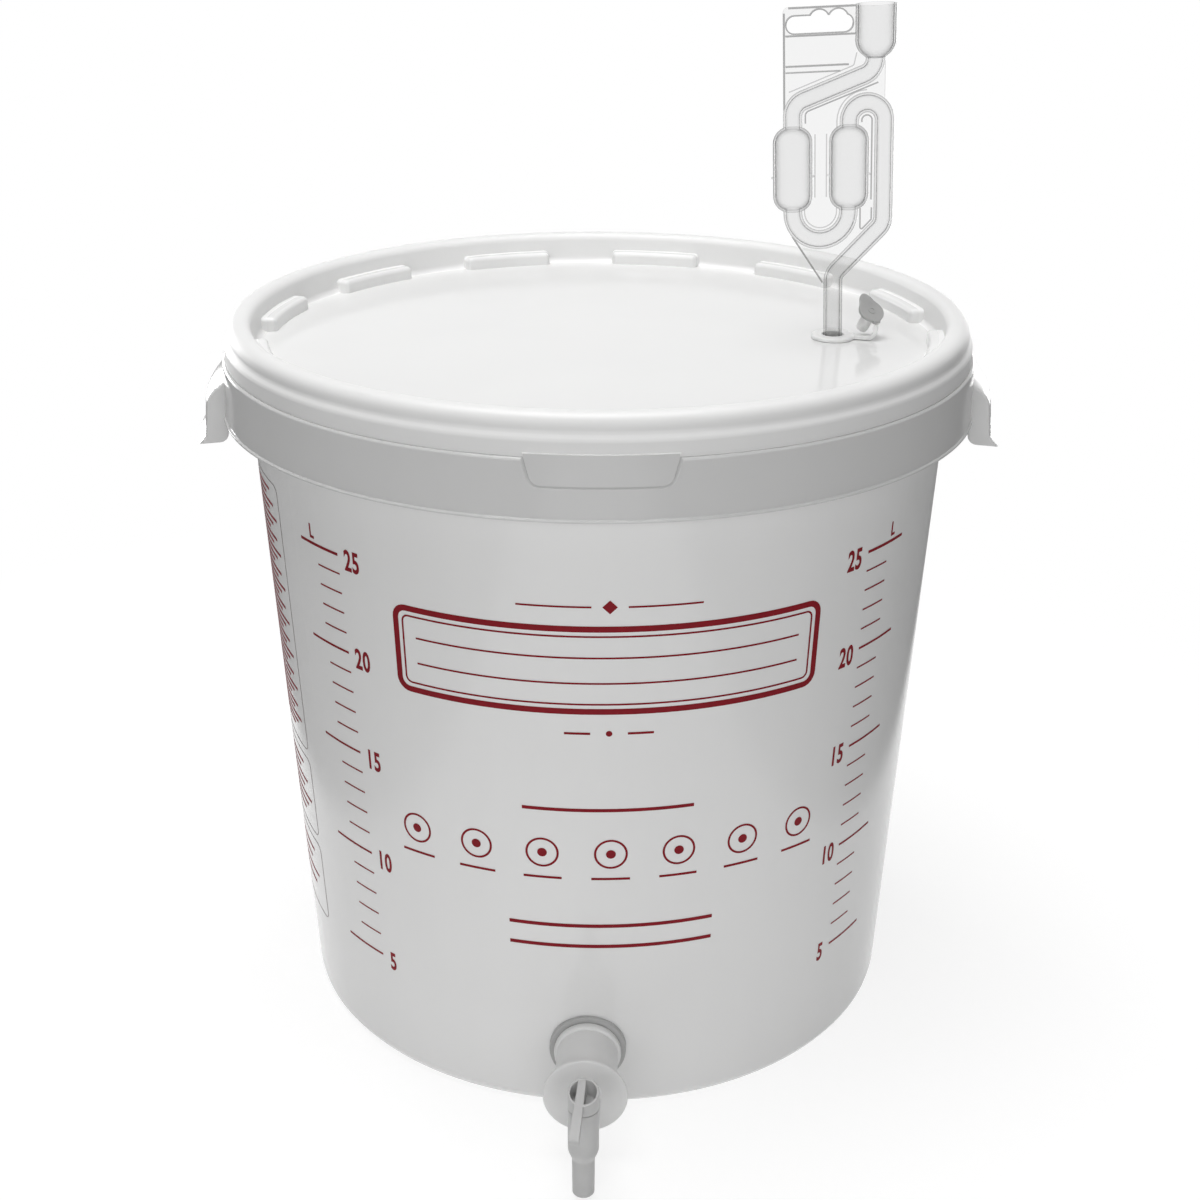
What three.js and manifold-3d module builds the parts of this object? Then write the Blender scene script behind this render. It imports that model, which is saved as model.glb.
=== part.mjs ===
// Fermentation bucket with a push-on lid, a twin-bulb airlock in a rubber grommet and a drain tap.
// Millimetres, +Z up. The origin is the centre of the bucket's underside; the tap faces -Y and the
// airlock stands on +X.
import * as THREE from 'three';
import { mergeVertices } from 'three/addons/utils/BufferGeometryUtils.js';
import Module from 'manifold-3d';

const wasm = await Module();
wasm.setup();

// Clearances and mesh fineness
const GAP = 0.3;
const ROUND_SIDES = 56;
const SMALL_SIDES = 24;
const TAP_SIDES = 32;
const CUP_SIDES = 16;
const BULB_SIDES = 14;
const TUBE_SIDES = 12;
const BORE_SIDES = 8;
const ROUND_PIECES = 2;
const BEND_PIECES = 5;
const SINK = 0.4;

// Bucket
const BASE_RADIUS = 161.5;
const WALL_DRAFT = 0.0501;
const WALL = 2.2;
const BASE_THICKNESS = 2.8;
const BASE_CORNER = 6.5;
const RIM_TOP = 370.5;
const RIM_BEAD_DEPTH = 4.2;
const RIM_BEAD_HEIGHT = 6;
const COLLAR_TOP = 357.5;
const COLLAR_HEIGHT = 27.9;
const COLLAR_REACH = 11;
const COLLAR_FLARE = 1.8;
const COLLAR_THICKNESS = 2;
const COLLAR_EDGE_ROUND = 1.4;
const COLLAR_RIBS = 16;
const COLLAR_RIB_THICKNESS = 1.6;
const COLLAR_RIB_HEIGHT = 16;

// Side grips of the collar
const GRIP_HALF_ANGLE = 14.5;
const GRIP_REACH = 9.4;
const GRIP_FLARE = 1.6;
const GRIP_LIP = 5.6;
const GRIP_LIP_HEIGHT = 4;
const GRIP_TOP_DROP = 10;
const GRIP_SLOPE = 8;
const GRIP_ROUND = 3;
const GRIP_DROP = 12;
const GRIP_THICKNESS = 2.2;

// Lid
const LID_THICKNESS = 2;
const LID_FLOOR = 359.5;
const LID_CREST = 376;
const LID_SKIRT_STEP = 2.1;
const LID_SKIRT_CLEARANCE = 0.8;
const LID_LEDGE = 367;
const LID_BEAD_CLEARANCE = 0.65;
const LID_BAND_ROUND = 6;
const LID_INNER_ROUND = 4;
const LID_FLOOR_FILLET = 3;
const LID_PLUG_CLEARANCE = 0.6;

// Stacking lugs inside the lid's recess
const LUG_COUNT = 12;
const LUG_PHASE = 18.7;
const LUG_HALF_ANGLE = 8.6;
const LUG_DEPTH = 7.5;
const LUG_HEIGHT = 7;
const LUG_CHAMFER = 1;

// Pull tongue of the lid, in a notch of the collar
const TONGUE_WIDTH = 67;
const TONGUE_TAPER = 3.6;
const TONGUE_HEIGHT = 12.8;
const TONGUE_CORNER = 4;
const TONGUE_SHIFT = 1.4;
const NOTCH_CLEARANCE = 0.6;

// Airlock: centre-line sizes in its own plane, u to the right and w up from the lid's floor
const AIRLOCK_INSET = 54.3;
const AIRLOCK_LEAN = 2.75;
const TUBE_DIAMETER = 9.5;
const TUBE_WALL = 1.1;
const STEM_INSERT = 16;
const STEM_BEND_W = 33;
const RISER_U = 24.8;
const RISER_BEND_W = 57.7;
const RISER_BEND_RADIUS = 8;
const RIGHT_BULB_U = 7.6;
const LEFT_BULB_U = -20.2;
const BULB_BOTTOM_W = 65.4;
const BULB_TOP_W = 107.2;
const BULB_DIAMETER = 19.7;
const BULB_ROUND = 8;
const TRAP_W = 64.8;
const ARCH_W = 108.8;
const CUP_U = 20;
const CUP_DIAMETER = 19.8;
const CUP_TOP_W = 163.4;
const CUP_NECK_W = 138.5;
const CUP_FLARE = 4.2;
const CUP_ROUND = 5;
const CROSS_LEFT_W = 117.8;
const CROSS_RIGHT_W = 132.4;
const CROSS_BEND_RADIUS = 8;
const WEB_THICKNESS = 1.2;
const WEB_LEFT_U = -24.8;
const WEB_CORNER = 2.5;
const WEB_TAIL_W = 28;
const HANG_SLOT_WIDTH = 32;
const HANG_SLOT_HEIGHT = 7.9;
const HANG_SLOT_INSET = 1.6;
const HANG_SLOT_DROP = 12.2;
const HANG_SCALLOP_RADIUS = 4.6;
const HANG_SCALLOP_RISE = 2.6;
const HANG_SCALLOP_PITCH = 9.2;
const HANG_SCALLOP_U = -7.4;

// Rubber grommet with its strap and stopper
const GROMMET_FLANGE_DIAMETER = 22.4;
const GROMMET_FOOT_DIAMETER = 20;
const GROMMET_FLANGE = 1.8;
const GROMMET_HOLE_DIAMETER = 16.2;
const STRAP_WIDTH = 3.2;
const STRAP_THICKNESS = 2;
const STRAP_REACH = 10.6;
const STRAP_RISE = 7.2;
const STRAP_BEND = 4;
const STRAP_BEARING = -14;
const STOPPER_DIAMETER = 13.4;
const STOPPER_THICKNESS = 1.8;
const STOPPER_TAB_DIAMETER = 6.2;
const STOPPER_TAB_REACH = 8.2;
const STOPPER_PLUG_DIAMETER = 6.6;
const STOPPER_PLUG_LENGTH = 12;
const STOPPER_PLUG_WALL = 1.3;
const STOPPER_KNUCKLE_DIAMETER = 2;
const STOPPER_OPEN = 38;
const STOPPER_TWIST = -66;

// Drain tap: distances along its axis are measured outwards from the bucket's wall
const TAP_HEIGHT = 38.5;
const TAP_AZIMUTH = -1.5;
const TAP_TAIL_DIAMETER = 24;
const TAP_TAIL_LENGTH = 27;
const TAP_BORE_DIAMETER = 18.6;
const TAP_HOLE_CLEARANCE = 0.4;
const TAP_GASKET_DIAMETER = 38.3;
const TAP_GASKET_THICKNESS = 3;
const TAP_FLANGE_DIAMETER = 33.5;
const TAP_FLANGE_THICKNESS = 4;
const TAP_BARREL_DIAMETER = 30.4;
const TAP_DISC_DIAMETER = 41.2;
const TAP_DISC_FRONT = 39.4;
const TAP_DISC_THICKNESS = 2.2;
const TAP_DISC_DISH = 1.8;
const TAP_DISC_CONE = 4.4;
const TAP_NECK_BORE = 8;
const SPOUT_REACH = 64;
const SPOUT_DIAMETER = 14.8;
const SPOUT_UP = 13.5;
const SPOUT_DOWN = 10.3;
const SPOUT_CHAMFER = 4.6;
const NOZZLE_DIAMETER = 10.6;
const NOZZLE_BORE = 7.4;
const NOZZLE_LENGTH = 20.8;
const PLUG_SEAT_DIAMETER = 11.8;
const PLUG_SEAT_FLOOR = 2;
const PLUG_BORE = 8;
const PLUG_HEAD_FRONT = 6.2;
const PLUG_HEAD_BACK = 11.3;
const PLUG_HEAD_WALL = 1.2;
const PLUG_HEAD_FLOOR = 2;
const LEVER_WIDTH = 4;
const LEVER_LENGTH = 24.6;
const LEVER_TIP_DEPTH = 2.6;
const LEVER_TIP_ROUND = 0.9;
const LEVER_OFFSET = -1.3;
const LEVER_SWING = -5.6;
const NUT_DIAMETER = 39;
const NUT_THICKNESS = 9;
const NUT_LOBES = 8;
const NUT_LOBE_DIAMETER = 9;
const INNER_GASKET_DIAMETER = 36;
const INNER_GASKET_THICKNESS = 3;

const UP = new THREE.Vector3(0, 0, 1);
const degrees = THREE.MathUtils.degToRad;

// A three.js geometry as a closed solid, with its faces turned outwards.
function solid(geometry) {
  const bare = new THREE.BufferGeometry();
  bare.setAttribute('position', geometry.getAttribute('position').clone());
  if (geometry.index) bare.setIndex(geometry.index.clone());
  const merged = mergeVertices(bare, 1e-4);
  const points = merged.getAttribute('position').array;
  const triangles = [];
  let volume = 0;
  const corners = [new THREE.Vector3(), new THREE.Vector3(), new THREE.Vector3()];
  for (let i = 0; i < merged.index.count; i += 3) {
    const [a, b, c] = [0, 1, 2].map((k) => merged.index.getX(i + k));
    if (a === b || b === c || c === a) continue;
    triangles.push(a, b, c);
    [a, b, c].forEach((id, k) => corners[k].fromArray(points, 3 * id));
    volume += corners[0].dot(corners[1].clone().cross(corners[2]));
  }
  if (volume < 0) triangles.reverse();
  return new wasm.Manifold(new wasm.Mesh({
    numProp: 3,
    vertProperties: new Float32Array(points),
    triVerts: new Uint32Array(triangles),
  }));
}

function join(...pieces) {
  return pieces.reduce((whole, piece) => whole.add(piece));
}

function cut(whole, ...tools) {
  return tools.reduce((rest, tool) => rest.subtract(tool), whole);
}

// The solid as a named mesh.
function part(name, body, material) {
  const mesh = body.getMesh();
  const geometry = new THREE.BufferGeometry();
  const points = new Float32Array(mesh.numVert * 3);
  for (let i = 0; i < mesh.numVert; i += 1) {
    for (let k = 0; k < 3; k += 1) points[3 * i + k] = mesh.vertProperties[mesh.numProp * i + k];
  }
  geometry.setAttribute('position', new THREE.BufferAttribute(points, 3));
  geometry.setIndex(new THREE.BufferAttribute(new Uint32Array(mesh.triVerts), 1));
  geometry.computeVertexNormals();
  const result = new THREE.Mesh(geometry, material);
  result.name = name;
  return result;
}

// A closed outline of [x, y] corners; a third number rounds that corner.
function roundedOutline(corners, Kind = THREE.Shape) {
  const outline = new Kind();
  addCorners(outline, corners, true);
  return outline;
}

// An open route of [x, y] corners; a third number is the bend's radius.
function roundedRoute(corners) {
  const route = new THREE.Path();
  addCorners(route, corners, false);
  return route;
}

function addCorners(path, corners, closed) {
  const count = corners.length;
  const at = (i) => new THREE.Vector2(...corners[(i + count) % count].slice(0, 2));
  let started = false;
  const go = (p) => {
    if (started) path.lineTo(p.x, p.y);
    else path.moveTo(p.x, p.y);
    started = true;
  };
  for (let i = 0; i < count; i += 1) {
    const radius = corners[i][2] || 0;
    const end = !closed && (i === 0 || i === count - 1);
    if (!radius || end) {
      go(at(i));
      continue;
    }
    const back = at(i - 1).sub(at(i)).normalize();
    const ahead = at(i + 1).sub(at(i)).normalize();
    const half = Math.acos(THREE.MathUtils.clamp(back.dot(ahead), -1, 1)) / 2;
    const reach = radius / Math.tan(half);
    const from = at(i).addScaledVector(back, reach);
    const to = at(i).addScaledVector(ahead, reach);
    const middle = at(i).addScaledVector(back.clone().add(ahead).normalize(), radius / Math.sin(half));
    const clockwise = back.cross(ahead) > 0;
    go(from);
    path.absarc(middle.x, middle.y, radius, Math.atan2(from.y - middle.y, from.x - middle.x),
      Math.atan2(to.y - middle.y, to.x - middle.x), clockwise);
  }
  if (closed) path.closePath();
}

// A solid of revolution about Z from [r, z] corners. The outline closes on itself.
function turned(corners, sides = ROUND_SIDES, pieces = ROUND_PIECES) {
  const points = roundedOutline(corners, THREE.Path).getPoints(pieces / 2);
  if (points[0].distanceTo(points[points.length - 1]) > 1e-6) points.push(points[0].clone());
  const geometry = new THREE.LatheGeometry(points, sides);
  geometry.rotateX(Math.PI / 2);
  return geometry;
}

function disc(radius, low, high, sides = SMALL_SIDES) {
  return turned([[0, low], [radius, low], [radius, high], [0, high]], sides);
}

function ring(inner, outer, low, high, sides = SMALL_SIDES) {
  return turned([[inner, low], [outer, low], [outer, high], [inner, high]], sides);
}

// Turns a solid of revolution about Z so that its +Z points outwards along -Y.
function alongTap(geometry) {
  return geometry.rotateX(Math.PI / 2);
}

// A plate in the XZ plane, centred on y.
function uprightPlate(outline, thickness, y = 0, pieces = BEND_PIECES) {
  const geometry = new THREE.ExtrudeGeometry(outline, {
    depth: thickness, bevelEnabled: false, curveSegments: pieces / 2,
  });
  geometry.rotateX(Math.PI / 2);
  geometry.translate(0, y + thickness / 2, 0);
  return geometry;
}

// A route through given points, one step to each.
class Route extends THREE.Curve {
  constructor(points) {
    super();
    this.points = points;
  }

  getPoint(t, target = new THREE.Vector3()) {
    const place = t * (this.points.length - 1);
    const i = Math.min(Math.floor(place), this.points.length - 2);
    return target.lerpVectors(this.points[i], this.points[i + 1], place - i);
  }

  getPointAt(t, target) {
    return this.getPoint(t, target);
  }

  getTangent(t, target = new THREE.Vector3()) {
    const last = this.points.length - 1;
    const i = Math.round(t * last);
    const before = this.points[Math.max(i - 1, 0)];
    const after = this.points[Math.min(i + 1, last)];
    const here = this.points[i];
    const arriving = here.clone().sub(before).normalize();
    const leaving = after.clone().sub(here).normalize();
    return target.addVectors(arriving, leaving).normalize();
  }

  getTangentAt(t, target) {
    return this.getTangent(t, target);
  }
}

// A round bar along a flat route in the XZ plane.
function bar(route, radius, sides) {
  const points = route.getPoints(BEND_PIECES / 2).map((p) => new THREE.Vector3(p.x, 0, p.y));
  const section = new THREE.Shape();
  section.absarc(0, 0, radius, 0, 2 * Math.PI, false);
  return new THREE.ExtrudeGeometry(section, {
    steps: points.length - 1, extrudePath: new Route(points), bevelEnabled: false, curveSegments: sides / 2,
  });
}

function plastic(colour, roughness, opacity = 1) {
  return new THREE.MeshStandardMaterial({
    color: colour, roughness, metalness: 0, opacity, transparent: opacity < 1,
  });
}

const bucketPlastic = plastic(0xd9d9d8, 0.4);
const lidPlastic = plastic(0xf0f0ee, 0.3);
const clearPlastic = plastic(0xeef1f2, 0.08, 0.35);
const whiteRubber = plastic(0xe6e6e3, 0.6);
const greyRubber = plastic(0x9b9b9a, 0.65);
const tapPlastic = plastic(0xd2d2d1, 0.45);

const wallOuter = (z) => BASE_RADIUS + WALL_DRAFT * z;
const wallInner = (z) => wallOuter(z) - WALL;

// Bucket
const collarBottom = COLLAR_TOP - COLLAR_HEIGHT;
const collarTopRadius = wallOuter(COLLAR_TOP) + COLLAR_REACH;
const collarBottomRadius = collarTopRadius + COLLAR_FLARE;
const webBottom = COLLAR_TOP - COLLAR_THICKNESS;
const collarAt = (z) => collarTopRadius + COLLAR_FLARE * (COLLAR_TOP - z) / COLLAR_HEIGHT;
const beadRadius = wallOuter(RIM_TOP) + RIM_BEAD_DEPTH;

function bucketShell() {
  return solid(turned([
    [0, 0],
    [BASE_RADIUS, 0, BASE_CORNER],
    [wallOuter(webBottom), webBottom],
    [collarTopRadius - COLLAR_THICKNESS, webBottom],
    [collarBottomRadius - COLLAR_THICKNESS, collarBottom],
    [collarBottomRadius, collarBottom],
    [collarTopRadius, COLLAR_TOP, COLLAR_EDGE_ROUND],
    [wallOuter(COLLAR_TOP), COLLAR_TOP],
    [wallOuter(RIM_TOP - RIM_BEAD_HEIGHT - RIM_BEAD_DEPTH), RIM_TOP - RIM_BEAD_HEIGHT - RIM_BEAD_DEPTH],
    [beadRadius, RIM_TOP - RIM_BEAD_HEIGHT],
    [beadRadius, RIM_TOP, RIM_BEAD_HEIGHT / 4],
    [wallInner(RIM_TOP), RIM_TOP],
    [wallInner(BASE_THICKNESS), BASE_THICKNESS, BASE_CORNER - WALL],
    [0, BASE_THICKNESS],
  ]));
}

// The upright wedge of a round part between two bearings, in degrees, reaching past any radius.
function wedge(from, to, low, high) {
  const reach = 2 * collarTopRadius;
  const shape = new THREE.Shape();
  shape.moveTo(0, 0);
  for (const bearing of [from, (from + to) / 2, to]) {
    shape.lineTo(reach * Math.cos(degrees(bearing)), reach * Math.sin(degrees(bearing)));
  }
  shape.closePath();
  const geometry = new THREE.ExtrudeGeometry(shape, { depth: high - low, bevelEnabled: false });
  geometry.translate(0, 0, low);
  return geometry;
}

// One side grip: the collar swells out to a hand hold that is open below, with a cheek at each end.
function withGrip(bucket, bearing) {
  const top = COLLAR_TOP - GRIP_TOP_DROP;
  const bottom = collarBottom - GRIP_DROP;
  const face = collarTopRadius + GRIP_REACH;
  const root = collarAt(top) - COLLAR_THICKNESS;
  const lipTop = bottom + GRIP_LIP_HEIGHT;
  const corner = top - GRIP_SLOPE;
  const outer = [
    [face, corner, GRIP_ROUND],
    [face + GRIP_FLARE, lipTop, GRIP_LIP_HEIGHT / 4],
    [face + GRIP_LIP, bottom],
  ];
  const inner = [
    [face + GRIP_LIP - GRIP_THICKNESS, bottom],
    [face + GRIP_FLARE - GRIP_THICKNESS, lipTop, GRIP_LIP_HEIGHT / 4],
    [face - GRIP_THICKNESS, corner - GRIP_THICKNESS],
  ];
  const shell = turned([[root, top], ...outer, ...inner, [root, top - GRIP_THICKNESS]]);
  const filled = turned([[root, top], ...outer, [collarBottomRadius - COLLAR_THICKNESS, bottom]]);
  const cheekAngle = THREE.MathUtils.radToDeg(GRIP_THICKNESS / face);
  const low = bottom - SINK;
  const high = COLLAR_TOP;
  const from = bearing - GRIP_HALF_ANGLE;
  const to = bearing + GRIP_HALF_ANGLE;
  const wallSide = wallOuter(webBottom) + SINK;
  const handRoom = turned([
    [wallSide, low],
    [face - GRIP_THICKNESS, low],
    [face - GRIP_THICKNESS, corner - GRIP_THICKNESS],
    [root, top - GRIP_THICKNESS],
    [wallSide, top - GRIP_THICKNESS],
  ]);
  const cleared = bucket.subtract(solid(handRoom).intersect(
    solid(wedge(from + cheekAngle, to - cheekAngle, low, high)),
  ));
  return join(
    cleared,
    solid(shell).intersect(solid(wedge(from, to, low, high))),
    solid(filled).intersect(solid(wedge(from, from + cheekAngle, low, high))),
    solid(filled).intersect(solid(wedge(to - cheekAngle, to, low, high))),
  );
}

// Thin upright ribs that brace the collar against the wall.
function collarRibs() {
  const ribs = [];
  const low = webBottom - COLLAR_RIB_HEIGHT;
  const outline = roundedOutline([
    [wallInner(webBottom) + WALL / 2, webBottom + SINK],
    [wallOuter(low) - SINK, low],
    [collarAt(low) - COLLAR_THICKNESS + SINK, low],
    [collarTopRadius - COLLAR_THICKNESS / 2, webBottom + SINK],
  ]);
  for (let i = 0; i < COLLAR_RIBS; i += 1) {
    const bearing = (360 * (i + 0.5)) / COLLAR_RIBS;
    const offSide = Math.abs(((bearing + 90) % 180) - 90);
    if (offSide < GRIP_HALF_ANGLE + COLLAR_RIB_THICKNESS) continue;
    const rib = uprightPlate(outline, COLLAR_RIB_THICKNESS);
    rib.rotateZ(degrees(bearing));
    ribs.push(solid(rib));
  }
  return ribs;
}

const lidBandRadius = beadRadius + LID_BEAD_CLEARANCE + LID_THICKNESS;
const lidSkirtRadius = lidBandRadius + LID_SKIRT_STEP;
const lidSkirtBottom = COLLAR_TOP + LID_SKIRT_CLEARANCE;
const tongueDepth = collarTopRadius - lidSkirtRadius;

// The tongue's outline seen from the front, grown by a margin; it runs up past the lid's edge.
function tongueOutline(margin, top) {
  const half = TONGUE_WIDTH / 2 + margin;
  const bottom = lidSkirtBottom - TONGUE_HEIGHT - margin;
  const corner = TONGUE_CORNER + margin;
  return roundedOutline([
    [TONGUE_SHIFT - half, top],
    [TONGUE_SHIFT - half + TONGUE_TAPER, bottom, corner],
    [TONGUE_SHIFT + half - TONGUE_TAPER, bottom, corner],
    [TONGUE_SHIFT + half, top],
  ]);
}

// A ring of the collar's slope, clipped to the tongue's outline at the front.
function tongueSolid(margin, top, insideMargin, outsideMargin) {
  const low = collarBottom;
  const band = turned([
    [collarAt(low) - COLLAR_THICKNESS - insideMargin, low],
    [collarAt(low) + outsideMargin, low],
    [collarAt(top) + outsideMargin, top],
    [collarAt(top) - COLLAR_THICKNESS - insideMargin, top],
  ]);
  const block = uprightPlate(tongueOutline(margin, top), collarTopRadius, -collarTopRadius);
  return solid(band).intersect(solid(block));
}

const tapWall = wallOuter(TAP_HEIGHT);

function buildBucket() {
  let bucket = join(bucketShell(), ...collarRibs());
  for (const bearing of [0, 180]) bucket = withGrip(bucket, bearing);
  const notch = tongueSolid(NOTCH_CLEARANCE, lidSkirtBottom, tongueDepth + NOTCH_CLEARANCE, COLLAR_THICKNESS);
  const holeRadius = TAP_TAIL_DIAMETER / 2 + TAP_HOLE_CLEARANCE;
  const hole = alongTap(disc(holeRadius, tapWall - TAP_TAIL_LENGTH, tapWall + TAP_TAIL_LENGTH));
  hole.translate(0, 0, TAP_HEIGHT);
  hole.rotateZ(degrees(TAP_AZIMUTH));
  return cut(bucket, notch, solid(hole));
}

// Lid
const lidPlug = (z) => wallInner(z) - LID_PLUG_CLEARANCE;
const lidRecess = (z) => lidPlug(z) - LID_THICKNESS;
const lidUnderside = LID_FLOOR - LID_THICKNESS;
const channelTop = LID_CREST - LID_THICKNESS;
const airlockFoot = new THREE.Vector3(lidRecess(LID_FLOOR) - AIRLOCK_INSET, 0, LID_FLOOR);

function lidShell() {
  return solid(turned([
    [0, lidUnderside],
    [lidPlug(lidUnderside), lidUnderside, LID_FLOOR_FILLET],
    [lidPlug(channelTop), channelTop],
    [lidBandRadius - LID_THICKNESS, channelTop, LID_BAND_ROUND - LID_THICKNESS],
    [lidBandRadius - LID_THICKNESS, LID_LEDGE - LID_THICKNESS],
    [lidSkirtRadius - LID_THICKNESS, LID_LEDGE - LID_THICKNESS],
    [lidSkirtRadius - LID_THICKNESS, lidSkirtBottom],
    [lidSkirtRadius, lidSkirtBottom],
    [lidSkirtRadius, LID_LEDGE],
    [lidBandRadius, LID_LEDGE],
    [lidBandRadius, LID_CREST, LID_BAND_ROUND],
    [lidRecess(LID_CREST), LID_CREST, LID_INNER_ROUND],
    [lidRecess(LID_FLOOR), LID_FLOOR, LID_FLOOR_FILLET],
    [0, LID_FLOOR],
  ]));
}

function lugs() {
  const outer = lidRecess(LID_FLOOR) + LID_THICKNESS / 2;
  const inner = lidRecess(LID_FLOOR) - LUG_DEPTH;
  const shape = new THREE.Shape();
  const half = degrees(LUG_HALF_ANGLE);
  shape.absarc(0, 0, outer, -half, half, false);
  shape.absarc(0, 0, inner, half, -half, true);
  shape.closePath();
  const made = [];
  for (let i = 0; i < LUG_COUNT; i += 1) {
    const lug = new THREE.ExtrudeGeometry(shape, {
      depth: LUG_HEIGHT + SINK - 2 * LUG_CHAMFER, curveSegments: 1, bevelEnabled: true, bevelSegments: 1,
      bevelThickness: LUG_CHAMFER, bevelSize: LUG_CHAMFER, bevelOffset: -LUG_CHAMFER,
    });
    lug.translate(0, 0, LID_FLOOR - SINK + LUG_CHAMFER);
    lug.rotateZ(degrees(LUG_PHASE + (360 * i) / LUG_COUNT));
    made.push(solid(lug));
  }
  return made;
}

function buildLid() {
  const tongue = tongueSolid(0, lidSkirtBottom + LID_THICKNESS, tongueDepth, 0);
  const hole = disc(GROMMET_HOLE_DIAMETER / 2, lidUnderside - LID_THICKNESS, LID_FLOOR + LID_THICKNESS);
  hole.translate(airlockFoot.x, airlockFoot.y, 0);
  return cut(join(lidShell(), ...lugs(), tongue), solid(hole));
}

function buildLidGasket() {
  const low = RIM_TOP + GAP;
  const outer = lidBandRadius - LID_BAND_ROUND;
  return solid(ring(wallInner(RIM_TOP), outer, low, channelTop - GAP, ROUND_SIDES));
}

// Airlock, in its own plane; each route starts at the end that liquid or gas enters
const tubeRadius = TUBE_DIAMETER / 2;
const boreRadius = tubeRadius - TUBE_WALL;
const trapRadius = (RIGHT_BULB_U - LEFT_BULB_U) / 2;
const archRadius = (RISER_U - RIGHT_BULB_U) / 2;
const bulbMiddle = (BULB_BOTTOM_W + BULB_TOP_W) / 2;

function airlockRoutes(inset) {
  const cross = roundedRoute([
    [CUP_U, CUP_NECK_W + tubeRadius],
    [CUP_U, CROSS_RIGHT_W, CROSS_BEND_RADIUS],
    [LEFT_BULB_U, CROSS_LEFT_W, CROSS_BEND_RADIUS],
    [LEFT_BULB_U, bulbMiddle],
  ]);
  const trap = new THREE.Path();
  trap.moveTo(LEFT_BULB_U, bulbMiddle);
  trap.lineTo(LEFT_BULB_U, TRAP_W);
  trap.absarc(LEFT_BULB_U + trapRadius, TRAP_W, trapRadius, Math.PI, 2 * Math.PI, false);
  trap.lineTo(RIGHT_BULB_U, bulbMiddle);
  const riser = new THREE.Path();
  riser.moveTo(RIGHT_BULB_U, bulbMiddle);
  riser.lineTo(RIGHT_BULB_U, ARCH_W);
  riser.absarc(RIGHT_BULB_U + archRadius, ARCH_W, archRadius, Math.PI, 0, true);
  const stem = roundedRoute([
    [RISER_U, ARCH_W],
    [RISER_U, RISER_BEND_W, RISER_BEND_RADIUS],
    [0, STEM_BEND_W, RISER_BEND_RADIUS],
    [0, -STEM_INSERT - inset],
  ]);
  for (const curve of stem.curves) riser.add(curve);
  return [cross, trap, riser];
}

function bulb(u, inset) {
  const radius = BULB_DIAMETER / 2 - inset;
  const round = BULB_ROUND - inset;
  const low = BULB_BOTTOM_W + inset;
  const high = BULB_TOP_W - inset;
  const body = turned([[0, low], [radius, low, round], [radius, high, round], [0, high]], BULB_SIDES);
  body.translate(u, 0, 0);
  return solid(body);
}

function cup(inset, top) {
  const radius = CUP_DIAMETER / 2 - inset;
  const neck = tubeRadius - inset;
  const body = turned([
    [0, CUP_NECK_W],
    [neck, CUP_NECK_W],
    [radius, CUP_NECK_W + CUP_FLARE, CUP_ROUND],
    [radius, top],
    [0, top],
  ], CUP_SIDES);
  body.translate(CUP_U, 0, 0);
  return solid(body);
}

// The flat web that ties the tubes together, with a header for hanging.
function webPlate() {
  const tailRoot = new THREE.Vector2(LEFT_BULB_U + trapRadius, TRAP_W);
  tailRoot.addScaledVector(new THREE.Vector2(-1, -1).normalize(), trapRadius + tubeRadius);
  const outline = roundedOutline([
    [WEB_LEFT_U, CUP_TOP_W, WEB_CORNER],
    [WEB_LEFT_U, CROSS_LEFT_W - tubeRadius],
    [LEFT_BULB_U, CROSS_LEFT_W - 2 * tubeRadius],
    [LEFT_BULB_U, TRAP_W],
    [tailRoot.x, tailRoot.y],
    [-tubeRadius, WEB_TAIL_W],
    [0, WEB_TAIL_W],
    [0, STEM_BEND_W],
    [RISER_U, RISER_BEND_W],
    [RISER_U, CROSS_RIGHT_W + tubeRadius],
    [CUP_U, CUP_NECK_W],
    [CUP_U, CUP_TOP_W],
  ]);
  const plate = solid(uprightPlate(outline, WEB_THICKNESS));
  return cut(plate, ...hangSlot());
}

// A round-ended slot with two scallops in its upper edge.
function hangSlot() {
  const half = HANG_SLOT_HEIGHT / 2;
  const left = WEB_LEFT_U + HANG_SLOT_INSET + half;
  const right = WEB_LEFT_U + HANG_SLOT_INSET + HANG_SLOT_WIDTH - half;
  const middle = CUP_TOP_W - HANG_SLOT_DROP + half;
  const slot = new THREE.Shape();
  slot.absarc(left, middle, half, Math.PI / 2, 1.5 * Math.PI, false);
  slot.absarc(right, middle, half, -Math.PI / 2, Math.PI / 2, false);
  slot.closePath();
  const tools = [solid(uprightPlate(slot, 3 * WEB_THICKNESS))];
  for (const step of [0, 1]) {
    const scallop = new THREE.Shape();
    const u = HANG_SCALLOP_U + step * HANG_SCALLOP_PITCH;
    const w = middle + half + HANG_SCALLOP_RISE - HANG_SCALLOP_RADIUS;
    scallop.absarc(u, w, HANG_SCALLOP_RADIUS, 0, 2 * Math.PI, false);
    tools.push(solid(uprightPlate(scallop, 3 * WEB_THICKNESS, 0, 2 * BEND_PIECES)));
  }
  return tools;
}

function buildAirlock() {
  const tubes = airlockRoutes(0).map((route) => solid(bar(route, tubeRadius, TUBE_SIDES)));
  const bores = airlockRoutes(SINK).map((route) => solid(bar(route, boreRadius, BORE_SIDES)));
  const outside = join(...tubes, bulb(LEFT_BULB_U, 0), bulb(RIGHT_BULB_U, 0), cup(0, CUP_TOP_W), webPlate());
  const inside = join(...bores, bulb(LEFT_BULB_U, TUBE_WALL), bulb(RIGHT_BULB_U, TUBE_WALL),
    cup(TUBE_WALL, CUP_TOP_W + SINK));
  return outside.subtract(inside);
}

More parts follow.
